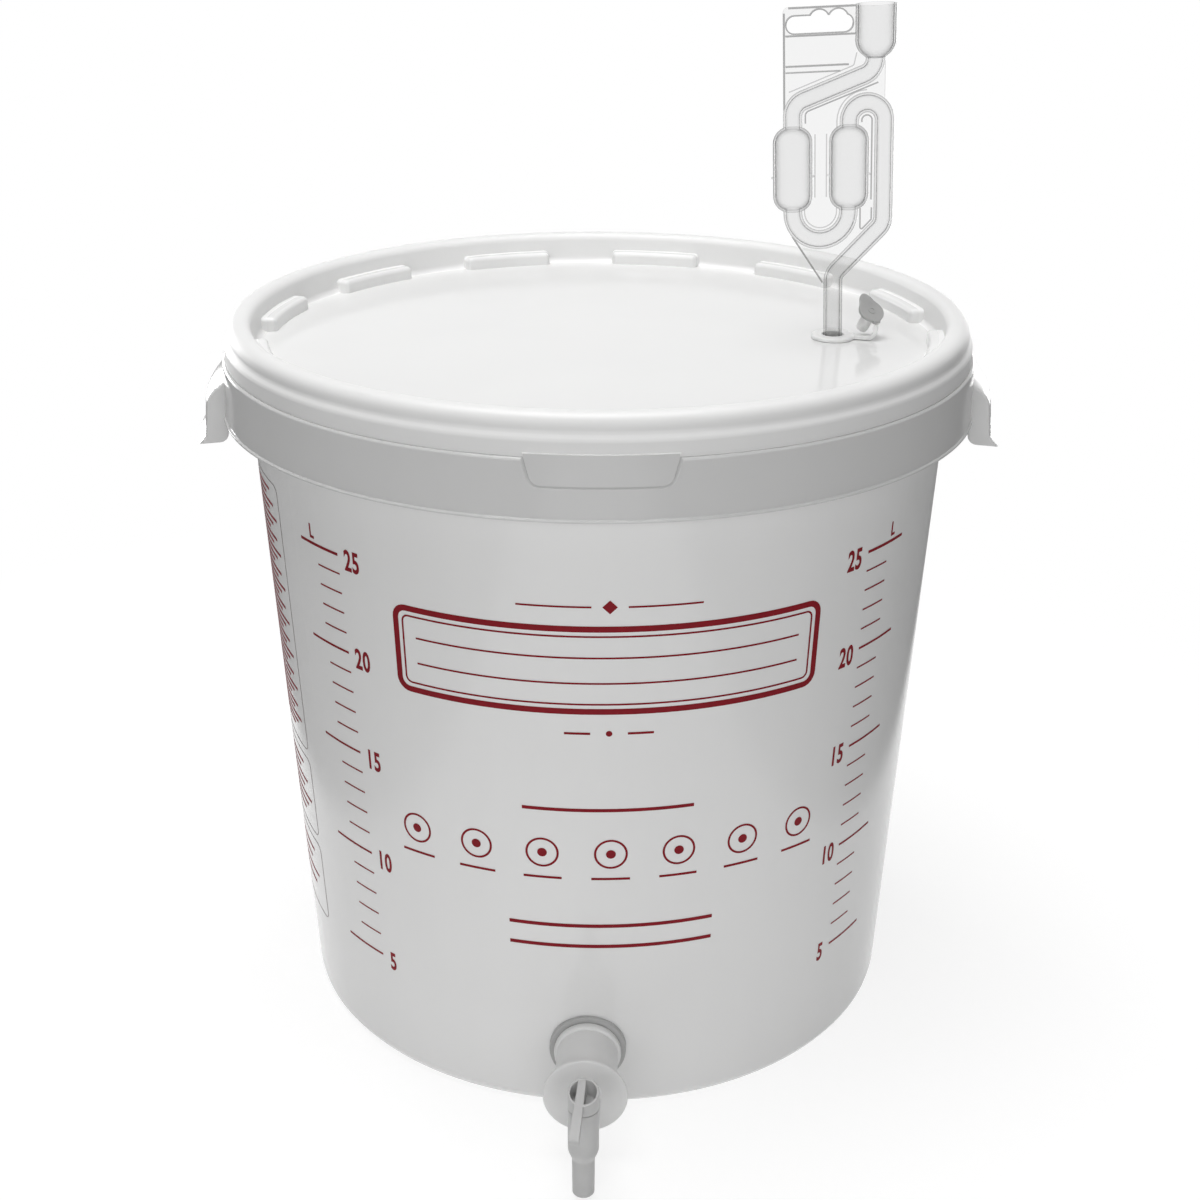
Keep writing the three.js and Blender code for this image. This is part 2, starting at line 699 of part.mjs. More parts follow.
// Grommet with its strap
const grommetLow = lidUnderside - GAP;
const grommetHigh = LID_FLOOR + GAP;
const grommetTop = grommetHigh + GROMMET_FLANGE;

// The strap's route, from the grommet's edge out along X and then up to the stopper.
function strapEnd() {
  const edge = GROMMET_FLANGE_DIAMETER / 2;
  return new THREE.Vector3(edge + STRAP_REACH, 0, grommetHigh + STRAP_THICKNESS / 2 + STRAP_RISE);
}

function buildGrommet() {
  const body = turned([
    [0, grommetLow - GROMMET_FLANGE],
    [GROMMET_FOOT_DIAMETER / 2, grommetLow - GROMMET_FLANGE, GROMMET_FLANGE / 3],
    [GROMMET_FOOT_DIAMETER / 2, grommetLow],
    [GROMMET_HOLE_DIAMETER / 2 - GAP, grommetLow],
    [GROMMET_HOLE_DIAMETER / 2 - GAP, grommetHigh],
    [GROMMET_FLANGE_DIAMETER / 2, grommetHigh],
    [GROMMET_FLANGE_DIAMETER / 2, grommetTop, GROMMET_FLANGE / 2],
    [0, grommetTop],
  ], SMALL_SIDES);
  const end = strapEnd();
  const middle = grommetHigh + STRAP_THICKNESS / 2;
  const side = STRAP_THICKNESS / 2;
  const root = GROMMET_FLANGE_DIAMETER / 2 - GROMMET_FLANGE;
  const strap = roundedOutline([
    [root, middle - side],
    [end.x + side, middle - side, STRAP_BEND + side],
    [end.x + side, end.z],
    [end.x - side, end.z],
    [end.x - side, middle + side, STRAP_BEND - side],
    [root, middle + side],
  ]);
  const strapPlate = uprightPlate(strap, STRAP_WIDTH);
  strapPlate.rotateZ(degrees(STRAP_BEARING));
  const bore = disc(tubeRadius + GAP, -4 * STEM_INSERT, 4 * STEM_INSERT);
  bore.rotateY(-degrees(AIRLOCK_LEAN));
  bore.translate(0, 0, LID_FLOOR);
  return cut(join(solid(body), solid(strapPlate)), solid(bore));
}

// Stopper: a lobed cap with a hollow plug below. Its own origin is the knuckle at the strap's end, with
// the cap reaching towards -X as it does when it closes the grommet.
function buildStopper() {
  const centre = -STOPPER_DIAMETER / 2;
  const half = STOPPER_THICKNESS / 2;
  const outside = STOPPER_PLUG_DIAMETER / 2;
  const inside = outside - STOPPER_PLUG_WALL;
  const low = -half - STOPPER_PLUG_LENGTH;
  const cap = disc(STOPPER_DIAMETER / 2, -half, half);
  cap.translate(centre, 0, 0);
  const tab = disc(STOPPER_TAB_DIAMETER / 2, -half, half, TUBE_SIDES);
  tab.translate(centre - STOPPER_TAB_REACH, 0, 0);
  const knuckle = disc(STOPPER_KNUCKLE_DIAMETER / 2, -STRAP_WIDTH / 2, STRAP_WIDTH / 2, TUBE_SIDES);
  knuckle.rotateX(Math.PI / 2);
  const plug = turned([
    [inside, low],
    [outside, low, STOPPER_PLUG_WALL / 2],
    [outside, 0],
    [inside, 0],
  ], TUBE_SIDES);
  plug.translate(centre, 0, 0);
  return join(solid(cap), solid(tab), solid(knuckle), solid(plug));
}

// Drain tap, in its own frame: the axis runs along -Y at z = 0
const tailEnd = tapWall - TAP_TAIL_LENGTH;
const flangeBack = tapWall + TAP_GASKET_THICKNESS + GAP;
const barrelFront = tapWall + TAP_DISC_FRONT - TAP_DISC_THICKNESS - TAP_DISC_CONE;
const discFront = tapWall + TAP_DISC_FRONT;
const spoutAxis = tapWall + SPOUT_REACH;

// The bucket's wall as the tap's frame sees it, grown outwards by a margin.
function wallBody(margin) {
  const reach = 2 * TAP_GASKET_DIAMETER;
  const body = turned([
    [0, -reach],
    [wallOuter(TAP_HEIGHT - reach) + margin, -reach],
    [wallOuter(TAP_HEIGHT + reach) + margin, reach],
    [0, reach],
  ]);
  body.rotateZ(-degrees(TAP_AZIMUTH));
  return solid(body);
}

function spoutTurned(corners, sides = SMALL_SIDES) {
  const body = turned(corners, sides);
  body.translate(0, -spoutAxis, 0);
  return solid(body);
}

function buildTapBody() {
  const tail = TAP_TAIL_DIAMETER / 2;
  const barrel = TAP_BARREL_DIAMETER / 2;
  const rim = TAP_DISC_DIAMETER / 2;
  const neck = SPOUT_DIAMETER / 2;
  const nozzle = NOZZLE_DIAMETER / 2;
  const shank = solid(alongTap(turned([
    [0, tailEnd],
    [tail, tailEnd],
    [tail, flangeBack],
    [TAP_FLANGE_DIAMETER / 2, flangeBack],
    [TAP_FLANGE_DIAMETER / 2, flangeBack + TAP_FLANGE_THICKNESS, TAP_FLANGE_THICKNESS / 2],
    [barrel, flangeBack + TAP_FLANGE_THICKNESS],
    [barrel, barrelFront],
    [rim, discFront - TAP_DISC_THICKNESS],
    [rim, discFront, TAP_DISC_THICKNESS / 3],
    [rim - TAP_DISC_CONE / 2, discFront],
    [neck, discFront - TAP_DISC_DISH],
    [neck, spoutAxis],
    [0, spoutAxis],
  ], TAP_SIDES)));
  const spoutLow = -SPOUT_DOWN - SPOUT_CHAMFER;
  const spout = spoutTurned([
    [0, spoutLow - NOZZLE_LENGTH],
    [nozzle, spoutLow - NOZZLE_LENGTH],
    [nozzle, spoutLow],
    [neck, -SPOUT_DOWN],
    [neck, SPOUT_UP],
    [0, SPOUT_UP],
  ]);
  const bore = solid(alongTap(turned([
    [0, tailEnd - SINK],
    [TAP_BORE_DIAMETER / 2, tailEnd - SINK],
    [TAP_BORE_DIAMETER / 2, barrelFront],
    [TAP_NECK_BORE / 2, barrelFront + TAP_DISC_CONE / 2],
    [TAP_NECK_BORE / 2, spoutAxis],
    [0, spoutAxis],
  ], SMALL_SIDES)));
  const seatFloor = -SPOUT_DOWN + PLUG_SEAT_FLOOR;
  const seat = spoutTurned([
    [0, spoutLow - NOZZLE_LENGTH - SINK],
    [NOZZLE_BORE / 2, spoutLow - NOZZLE_LENGTH - SINK],
    [NOZZLE_BORE / 2, seatFloor],
    [PLUG_SEAT_DIAMETER / 2, seatFloor],
    [PLUG_SEAT_DIAMETER / 2, SPOUT_UP + SINK],
    [0, SPOUT_UP + SINK],
  ]);
  return cut(join(shank, spout), bore, seat);
}

// The plug turns about the spout's axis. Its head is a cup with a sloping rim, and the lever is a
// blade that crosses the cup and slopes down to the front.
function buildTapPlug() {
  const core = PLUG_SEAT_DIAMETER / 2 - GAP;
  const head = SPOUT_DIAMETER / 2;
  const headLow = SPOUT_UP + GAP;
  const low = -SPOUT_DOWN + PLUG_SEAT_FLOOR + GAP;
  const high = headLow + PLUG_HEAD_BACK + PLUG_HEAD_FRONT;
  const body = solid(turned([
    [0, low],
    [core, low],
    [core, headLow],
    [head, headLow],
    [head, high],
    [0, high],
  ], SMALL_SIDES));
  const hollow = solid(disc(head - PLUG_HEAD_WALL, headLow + PLUG_HEAD_FLOOR, high + SINK));
  const slope = (PLUG_HEAD_BACK - PLUG_HEAD_FRONT) / SPOUT_DIAMETER;
  const rimAt = (reach) => headLow + PLUG_HEAD_FRONT + slope * (head - reach);
  const far = 2 * head;
  const above = new THREE.Shape();
  above.moveTo(-far, rimAt(-far));
  above.lineTo(far, rimAt(far));
  above.lineTo(far, 2 * high);
  above.lineTo(-far, 2 * high);
  above.closePath();
  const sloped = sideways(above, 4 * head);
  const bore = solid(disc(PLUG_BORE / 2, low - SINK, headLow - PLUG_HEAD_FLOOR));
  const port = disc(TAP_NECK_BORE / 2, 0, far);
  port.rotateY(Math.PI / 2);
  const lever = sideways(roundedOutline([
    [PLUG_HEAD_WALL - head, headLow + PLUG_HEAD_FLOOR - SINK],
    [head, headLow + PLUG_HEAD_FLOOR - SINK],
    [LEVER_LENGTH, rimAt(LEVER_LENGTH) - LEVER_TIP_DEPTH, LEVER_TIP_ROUND],
    [LEVER_LENGTH, rimAt(LEVER_LENGTH), LEVER_TIP_ROUND],
    [PLUG_HEAD_WALL - head, rimAt(PLUG_HEAD_WALL - head)],
  ]), LEVER_WIDTH, LEVER_OFFSET);
  return join(cut(body, hollow, sloped, bore, solid(port)), lever);
}

// A plate whose outline is drawn in reach (towards -Y) and height, moved sideways by an offset.
function sideways(outline, thickness, offset = 0) {
  const plate = uprightPlate(outline, thickness);
  plate.rotateZ(-Math.PI / 2);
  plate.translate(offset, 0, 0);
  return solid(plate);
}

function buildTapGasket() {
  const inner = TAP_TAIL_DIAMETER / 2 + GAP;
  const front = flangeBack - GAP;
  const outer = TAP_GASKET_DIAMETER / 2;
  const blank = alongTap(ring(inner, outer, tapWall - outer, front, TAP_SIDES));
  return solid(blank).subtract(wallBody(GAP));
}

const gasketInside = tapWall - WALL - TAP_GASKET_THICKNESS - INNER_GASKET_THICKNESS;

function buildInnerGasket() {
  const inner = TAP_TAIL_DIAMETER / 2 + GAP;
  const blank = alongTap(ring(inner, INNER_GASKET_DIAMETER / 2, gasketInside, tapWall, TAP_SIDES));
  return solid(blank).intersect(wallBody(-WALL - GAP));
}

function buildNut() {
  const front = gasketInside - GAP;
  const back = front - NUT_THICKNESS;
  const body = solid(alongTap(disc(NUT_DIAMETER / 2, back, front, TAP_SIDES)));
  const tools = [solid(alongTap(disc(TAP_TAIL_DIAMETER / 2 + GAP, back - SINK, front + SINK)))];
  const lobeReach = NUT_DIAMETER / 2 + NUT_LOBE_DIAMETER / 4;
  for (let i = 0; i < NUT_LOBES; i += 1) {
    const turn = (2 * Math.PI * i) / NUT_LOBES;
    const lobe = disc(NUT_LOBE_DIAMETER / 2, back - SINK, front - NUT_THICKNESS / 4, TUBE_SIDES);
    lobe.translate(lobeReach * Math.cos(turn), lobeReach * Math.sin(turn), 0);
    tools.push(solid(alongTap(lobe)));
  }
  return cut(body, ...tools);
}

// Assembly
const object = new THREE.Group();
object.add(part('bucket', buildBucket(), bucketPlastic));
object.add(part('lid', buildLid(), lidPlastic));
object.add(part('lid_gasket', buildLidGasket(), whiteRubber));

const airlockMesh = part('airlock', buildAirlock(), clearPlastic);
airlockMesh.position.copy(airlockFoot);
airlockMesh.rotation.y = -degrees(AIRLOCK_LEAN);
object.add(airlockMesh);

const grommetGroup = new THREE.Group();
grommetGroup.position.set(airlockFoot.x, airlockFoot.y, 0);
grommetGroup.add(part('airlock_grommet', buildGrommet(), whiteRubber));
const stopperMesh = part('stopper_cap', buildStopper(), greyRubber);
stopperMesh.position.copy(strapEnd()).applyAxisAngle(UP, degrees(STRAP_BEARING));
stopperMesh.position.z += GAP + STOPPER_KNUCKLE_DIAMETER / 2;
stopperMesh.rotation.order = 'ZYX';
stopperMesh.rotation.set(0, degrees(STOPPER_OPEN), degrees(STOPPER_TWIST));
grommetGroup.add(stopperMesh);
object.add(grommetGroup);

const tapGroup = new THREE.Group();
tapGroup.position.z = TAP_HEIGHT;
tapGroup.rotation.z = degrees(TAP_AZIMUTH);
tapGroup.add(part('tap_body', buildTapBody(), tapPlastic));
tapGroup.add(part('tap_gasket', buildTapGasket(), greyRubber));
tapGroup.add(part('tap_inner_gasket', buildInnerGasket(), greyRubber));
tapGroup.add(part('tap_nut', buildNut(), tapPlastic));
const plugMesh = part('tap_plug', buildTapPlug(), tapPlastic);
plugMesh.position.y = -spoutAxis;
plugMesh.rotation.z = degrees(LEVER_SWING);
tapGroup.add(plugMesh);
object.add(tapGroup);

export default object;
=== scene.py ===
"""Looks of a fermentation bucket with a push-on lid, a twin-bulb airlock and a drain tap.

Shapes are drawn in millimetres in the part's own frame and scaled to metres when they are finished.
"""

import math

import bmesh
import bpy
from mathutils import Matrix, Vector


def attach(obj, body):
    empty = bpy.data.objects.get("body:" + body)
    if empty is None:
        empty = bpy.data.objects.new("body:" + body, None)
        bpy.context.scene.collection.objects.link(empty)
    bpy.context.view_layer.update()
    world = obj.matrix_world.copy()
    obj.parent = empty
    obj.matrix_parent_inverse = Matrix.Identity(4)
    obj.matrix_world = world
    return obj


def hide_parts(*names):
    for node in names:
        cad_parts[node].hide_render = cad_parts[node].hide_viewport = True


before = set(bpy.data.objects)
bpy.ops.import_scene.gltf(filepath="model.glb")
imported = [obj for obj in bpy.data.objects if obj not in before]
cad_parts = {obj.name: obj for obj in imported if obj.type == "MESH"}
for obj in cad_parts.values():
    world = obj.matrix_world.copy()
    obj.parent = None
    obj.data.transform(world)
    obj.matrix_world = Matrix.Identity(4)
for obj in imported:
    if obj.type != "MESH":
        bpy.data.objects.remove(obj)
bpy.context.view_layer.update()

MM = 0.001
FULL_TURN = 2 * math.pi
ROUND_STEPS = 224
SMALL_STEPS = 64
TUBE_STEPS = 36
SHARP_ANGLE = math.radians(34)

# Bucket
BASE_RADIUS = 161.5
WALL_DRAFT = 0.0501
WALL = 2.2
BASE_THICKNESS = 2.8
RIM_TOP = 370.5
BEAD_DEPTH = 4.2
BEAD_HEIGHT = 6.0
COLLAR_TOP = 357.5
COLLAR_BOTTOM = 329.6
COLLAR_REACH = 11.0
COLLAR_FLARE = 1.8
COLLAR_THICKNESS = 2.0
COLLAR_LIP = 0.9
COLLAR_LIP_HEIGHT = 0.9
RIB_COUNT = 16
RIB_LOW = 339.5
RIB_THICKNESS = 1.6
GRIP_HALF_ANGLE = 14.5
GRIP_CHEEK = 0.63
TAP_HEIGHT = 38.5
TAP_AZIMUTH = math.radians(-1.5)
TAP_HOLE_RADIUS = 12.4

# Lid
LID_FLOOR = 359.5
LID_CREST = 376.0
LID_THICKNESS = 2.0
LID_LEDGE = 367.0
LEDGE_RISE = 1.2
LEDGE_FALL = 1.6
LID_PLUG_CLEARANCE = 0.6
LID_BAND = 186.91
LID_SKIRT = 189.01
LID_SKIRT_BOTTOM = 357.56
LUG_COUNT = 12
LUG_PHASE = 18.7
LUG_HALF_ANGLE = 8.6
LUG_DEPTH = 7.5
LUG_HEIGHT = 7.0
TONGUE_HALF = 33.5
TONGUE_TAPER = 3.6
TONGUE_LOW = 345.5
TONGUE_CORNER = 5.2
TONGUE_SHIFT = 1.4
TONGUE_DEPTH = 3.4
TONGUE_SINK = 1.2
NOTCH_CLEARANCE = 0.15
NOTCH_CHAMFER = 1.4
NOTCH_BACK = 181.2
NOTCH_FRONT = 210.0
NOTCH_STEPS = 16
CORNER_STEPS = 8
GROMMET_HOLE = 8.1

# Airlock, in its own plane: u to the right, w up from the lid's floor
AIRLOCK_FOOT = Vector((120.41, 0.0, LID_FLOOR))
AIRLOCK_LEAN = math.radians(2.75)
TUBE_RADIUS = 4.75
TUBE_WALL = 1.1
BULB_RADIUS = 9.85
BULB_LOW = 65.4
BULB_HIGH = 107.2
BULB_ROUND = 8.0
BULB_LEFT_U = -20.2
BULB_RIGHT_U = 7.6
BULB_MIDDLE = 86.3
FILL_MARK_W = 82.7
CUP_U = 20.0
CUP_RADIUS = 9.9
CUP_NECK = 138.5
CUP_TOP = 163.4
CUP_FLARE = 4.2
WEB_LEFT_U = -24.8
WEB_THICKNESS = 1.2
WEB_RIB_THICKNESS = 2.0
BEAD_RADIUS = 0.69
EDGE_NEAR = 0.604 * MM
EDGE_FAR = 1.06 * MM


def wall_radius(z):
    return BASE_RADIUS + WALL_DRAFT * z


def inner_radius(z):
    return wall_radius(z) - WALL


COLLAR_RADIUS = wall_radius(COLLAR_TOP) + COLLAR_REACH


def collar_radius(z):
    return COLLAR_RADIUS + COLLAR_FLARE * (COLLAR_TOP - z) / (COLLAR_TOP - COLLAR_BOTTOM)


# Modelling helpers
def round_edges(bm, edges, offset, segments=4):
    bmesh.ops.bevel(bm, geom=edges, offset=offset, offset_type="OFFSET", segments=segments, profile=0.5,
                    affect="EDGES", material=-1, clamp_overlap=True)


def tidy_shell(bm):
    bmesh.ops.remove_doubles(bm, verts=bm.verts, dist=0.0005)
    bmesh.ops.dissolve_degenerate(bm, edges=bm.edges, dist=0.0001)
    bmesh.ops.recalc_face_normals(bm, faces=bm.faces)


def ring_edges(bm, radius, z):
    def there(vert):
        return abs(math.hypot(vert.co.x, vert.co.y) - radius) < 0.04 and abs(vert.co.z - z) < 0.04
    return [edge for edge in bm.edges if all(there(vert) for vert in edge.verts)]


def spun(corners, steps=ROUND_STEPS, rounds=(), start=0.0, sweep=360.0, segments=4):
    """A shell turned about Z from (radius, height) corners; rounds are (corner number, offset)."""
    bm = bmesh.new()
    verts = [bm.verts.new((radius, 0.0, z)) for radius, z in corners]
    pairs = list(zip(verts, verts[1:]))
    if corners[0][0] > 0 or corners[-1][0] > 0:
        pairs.append((verts[-1], verts[0]))
    edges = [bm.edges.new(pair) for pair in pairs]
    whole = abs(sweep) >= 360
    bmesh.ops.spin(bm, geom=verts + edges, cent=(0, 0, 0), axis=(0, 0, 1), dvec=(0, 0, 0),
                   angle=math.radians(sweep), steps=steps, use_merge=whole, use_normal_flip=False,
                   use_duplicate=False)
    if not whole:
        bmesh.ops.holes_fill(bm, edges=[edge for edge in bm.edges if edge.is_boundary], sides=0)
    tidy_shell(bm)
    for number, offset in rounds:
        round_edges(bm, ring_edges(bm, *corners[number]), offset, segments)
    if start:
        bmesh.ops.rotate(bm, cent=(0, 0, 0), matrix=Matrix.Rotation(math.radians(start), 3, "Z"), verts=bm.verts)
    return bm


def slab(corners, low, high, rounds=(), segments=6):
    """A plate drawn by (x, z) corners between two depths in y; rounds are (corner number, offset)."""
    bm = bmesh.new()
    face = bm.faces.new([bm.verts.new((x, low, z)) for x, z in corners])
    grown = bmesh.ops.extrude_face_region(bm, geom=[face], use_keep_orig=True)["geom"]
    far = [item for item in grown if isinstance(item, bmesh.types.BMVert)]
    bmesh.ops.translate(bm, vec=(0, high - low, 0), verts=far)
    bmesh.ops.recalc_face_normals(bm, faces=bm.faces)
    for number, offset in rounds:
        x, z = corners[number]
        edges = [edge for edge in bm.edges
                 if all(abs(v.co.x - x) < 1e-4 and abs(v.co.z - z) < 1e-4 for v in edge.verts)]
        round_edges(bm, edges, offset, segments)
    return bm


def moved(bm, matrix):
    bmesh.ops.transform(bm, matrix=matrix, verts=bm.verts)
    return bm


def together(parts):
    whole = bmesh.new()
    for part in parts:
        mesh = bpy.data.meshes.new("part")
        part.to_mesh(mesh)
        part.free()
        whole.from_mesh(mesh)
        bpy.data.meshes.remove(mesh)
    return whole


def shape(name, bm):
    mesh = bpy.data.meshes.new(name)
    bm.to_mesh(mesh)
    bm.free()
    made = bpy.data.objects.new(name, mesh)
    bpy.context.scene.collection.objects.link(made)
    return made


def combine(target, *steps):
    """Joins or cuts a shape with others; each step is (operation, bmesh)."""
    tools = []
    for operation, bm in steps:
        tool = shape("tool", bm)
        modifier = target.modifiers.new(operation, "BOOLEAN")
        modifier.operation = operation
        modifier.solver = "EXACT"
        modifier.object = tool
        tools.append(tool)
    graph = bpy.context.evaluated_depsgraph_get()
    mesh = bpy.data.meshes.new_from_object(target.evaluated_get(graph))
    target.modifiers.clear()
    target.data = mesh
    for tool in tools:
        bpy.data.objects.remove(tool)
    return target


def finished(made, matrix=Matrix.Identity(4), sharp=SHARP_ANGLE):
    """Puts a shape in its place, in metres, with smooth faces and sharp creases."""
    bm = bmesh.new()
    bm.from_mesh(made.data)
    tidy_shell(bm)
    bmesh.ops.transform(bm, matrix=Matrix.Scale(MM, 4) @ matrix, verts=bm.verts)
    for face in bm.faces:
        face.smooth = True
    for edge in bm.edges:
        edge.smooth = len(edge.link_faces) == 2 and edge.calc_face_angle() < sharp
    bm.to_mesh(made.data)
    bm.free()
    even = made.modifiers.new("even_shading", "WEIGHTED_NORMAL")
    even.keep_sharp = True
    return made


def dressed(made, body, slot, material, *nodes):
    made.data.materials.clear()
    made.data.materials.append(material)
    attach(made, body)
    if nodes:
        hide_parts(*nodes)
    return made


# Materials
class Finish:
    """A material with one main shader and short ways to add textures on Object coordinates."""

    def __init__(self, name):
        self.material = bpy.data.materials.new(name)
        self.material.use_nodes = True
        self.nodes = self.material.node_tree.nodes
        self.links = self.material.node_tree.links
        self.shader = self.nodes["Principled BSDF"]
        self.output = self.nodes["Material Output"]
        self.place = self.nodes.new("ShaderNodeTexCoord").outputs["Object"]

    def set(self, **values):
        for name, value in values.items():
            self.shader.inputs[name.replace("_", " ")].default_value = value
        return self

    def stretched(self, scale):
        mapping = self.nodes.new("ShaderNodeMapping")
        mapping.inputs["Scale"].default_value = scale
        self.links.new(self.place, mapping.inputs["Vector"])
        return mapping.outputs["Vector"]

    def noise(self, scale, detail=3.0, roughness=0.5, vector=None):
        texture = self.nodes.new("ShaderNodeTexNoise")
        texture.inputs["Scale"].default_value = scale
        texture.inputs["Detail"].default_value = detail
        texture.inputs["Roughness"].default_value = roughness
        self.links.new(vector or self.place, texture.inputs["Vector"])
        return texture.outputs["Fac"]

    def between(self, value, low, high, source_low=0.3, source_high=0.7):
        ranged = self.nodes.new("ShaderNodeMapRange")
        ranged.inputs["From Min"].default_value = source_low
        ranged.inputs["From Max"].default_value = source_high
        ranged.inputs["To Min"].default_value = low
        ranged.inputs["To Max"].default_value = high
        self.links.new(value, ranged.inputs["Value"])
        return ranged.outputs["Result"]

    def blend(self, value, first, second):
        mix = self.nodes.new("ShaderNodeMix")
        mix.data_type = "RGBA"
        for socket, colour in ((mix.inputs[6], first), (mix.inputs[7], second)):
            socket.default_value = (*colour, 1)
        self.links.new(value, mix.inputs[0])
        return mix.outputs[2]

    def colour(self, output):
        self.links.new(output, self.shader.inputs["Base Color"])
        return self

    def rough(self, output):
        self.links.new(output, self.shader.inputs["Roughness"])
        return self

    def grain(self, scale, strength, depth, detail=2.0):
        bump = self.nodes.new("ShaderNodeBump")
        bump.inputs["Strength"].default_value = strength
        bump.inputs["Distance"].default_value = depth
        self.links.new(self.noise(scale, detail), bump.inputs["Height"])
        self.links.new(bump.outputs["Normal"], self.shader.inputs["Normal"])
        return self


def moulded(name, pale, dark, rough, cloud_scale, grain_scale, grain_strength, streaks=1.0):
    """Moulded plastic or rubber: cloudy colour, uneven gloss and a fine skin."""
    finish = Finish(name)
    clouds = finish.noise(cloud_scale, 4.0, 0.55, finish.stretched((1, 1, streaks)))
    finish.colour(finish.blend(finish.between(clouds, 0.0, 1.0), pale, dark))
    finish.rough(finish.between(finish.noise(cloud_scale * 3, 3.0), rough * 0.85, rough * 1.15))
    finish.grain(grain_scale, grain_strength, 0.0004)
    return finish


def glowing_wall():
    """Milky pail plastic with painted light: the single wall is painted paler, as light glowing through it, and the
    doubled collar, the rim and the grips darker, as painted shade.
    """
    finish = Finish("bucket_plastic")
    clouds = finish.between(finish.noise(9.0, 4.0, 0.55, finish.stretched((1, 1, 0.25))), 0.0, 1.0)
    height = finish.nodes.new("ShaderNodeSeparateXYZ")
    finish.links.new(finish.place, height.inputs[0])
    # Painted glow for the wall and painted shade for the collar, rim and grips; the clouds are random tone.
    wall = finish.blend(clouds, (0.90, 0.90, 0.895), (0.86, 0.86, 0.856))
    collar = finish.blend(clouds, (0.71, 0.71, 0.707), (0.68, 0.68, 0.677))
    # The mask of the painted collar shade: above the collar's bottom edge, or out past 186 to 190 mm.
    step = finish.nodes.new("ShaderNodeMath")
    step.operation = "MAXIMUM"
    above = finish.between(height.outputs["Z"], 0.0, 1.0, COLLAR_BOTTOM * MM - 0.004, COLLAR_BOTTOM * MM + 0.001)
    finish.links.new(above, step.inputs[0])
    reach = finish.nodes.new("ShaderNodeVectorMath")
    reach.operation = "LENGTH"
    finish.links.new(finish.stretched((1, 1, 0)), reach.inputs[0])
    finish.links.new(finish.between(reach.outputs["Value"], 0.0, 1.0, 0.186, 0.19), step.inputs[1])
    mix = finish.nodes.new("ShaderNodeMix")
    mix.data_type = "RGBA"
    finish.links.new(step.outputs[0], mix.inputs[0])
    finish.links.new(wall, mix.inputs[6])
    finish.links.new(collar, mix.inputs[7])
    finish.colour(mix.outputs[2])
    finish.rough(finish.between(finish.noise(27.0), 0.12, 0.17))
    finish.grain(620.0, 0.02, 0.0004)
    return finish.set(Specular_IOR_Level=0.45)


def tap_resin():
    """Satin tap plastic with painted light: the thin neck is painted paler, as light glowing through it, and the thick
    barrel, nozzle and lever at the front darker, as painted shade.
    """
    finish = Finish("tap_plastic")
    clouds = finish.between(finish.noise(45.0, 4.0), 0.0, 1.0)
    place = finish.nodes.new("ShaderNodeSeparateXYZ")
    finish.links.new(finish.place, place.inputs[0])
    # Painted glow on the neck and painted shade on the front parts, switched by depth along Y; the clouds are random
    # tone.
    thin = finish.blend(clouds, (0.86, 0.86, 0.856), (0.81, 0.81, 0.806))
    thick = finish.blend(clouds, (0.58, 0.58, 0.577), (0.53, 0.53, 0.527))
    mix = finish.nodes.new("ShaderNodeMix")
    mix.data_type = "RGBA"
    finish.links.new(finish.between(place.outputs["Y"], 1.0, 0.0, -0.222, -0.206), mix.inputs[0])
    finish.links.new(thin, mix.inputs[6])
    finish.links.new(thick, mix.inputs[7])
    finish.colour(mix.outputs[2])
    finish.rough(finish.between(finish.noise(135.0), 0.3, 0.42))
    return finish.grain(1200.0, 0.08, 0.0004)


def lid_resin():
    """White lid plastic: a polished floor inside a satin rim."""
    finish = Finish("lid_plastic")
    clouds = finish.between(finish.noise(7.0, 4.0, 0.55), 0.0, 1.0)
    finish.colour(finish.blend(clouds, (0.86, 0.86, 0.855), (0.83, 0.83, 0.826)))
    reach = finish.nodes.new("ShaderNodeVectorMath")
    reach.operation = "LENGTH"
    finish.links.new(finish.stretched((1, 1, 0)), reach.inputs[0])
    finish.rough(finish.between(reach.outputs["Value"], 0.11, 0.42, 0.168, 0.176))
    return finish.grain(420.0, 0.025, 0.0004).set(Specular_IOR_Level=0.4)


bucket_plastic = glowing_wall()
tap_plastic = tap_resin()
lid_plastic = lid_resin()
white_rubber = moulded("white_rubber", (0.93, 0.93, 0.92), (0.89, 0.89, 0.88), 0.5, 60.0, 1500.0, 0.12)
white_rubber.set(Subsurface_Weight=0.4, Subsurface_Radius=(0.006, 0.006, 0.006), Subsurface_Scale=1.0)
# Painted shade: this grey stands for the shade on the stopper cap's face; the plug under the cap keeps the white
# rubber.
grey_rubber = moulded("grey_rubber", (0.42, 0.42, 0.415), (0.36, 0.36, 0.357), 0.5, 70.0, 1500.0, 0.15)
# The washer's grey is partly its rubber's own tone and partly painted shade of the ring at the tap's flange.
washer_rubber_and_shade = moulded("washer_rubber_and_shade", (0.5, 0.5, 0.497), (0.44, 0.44, 0.437), 0.6, 50.0, 1300.0, 0.15)
red_ink = moulded("red_ink", (0.26, 0.004, 0.012), (0.21, 0.003, 0.01), 0.5, 160.0, 900.0, 0.06)
red_ink.set(Specular_IOR_Level=0.2)
grey_ink = moulded("grey_ink", (0.30, 0.26, 0.26), (0.25, 0.21, 0.21), 0.45, 160.0, 900.0, 0.06)


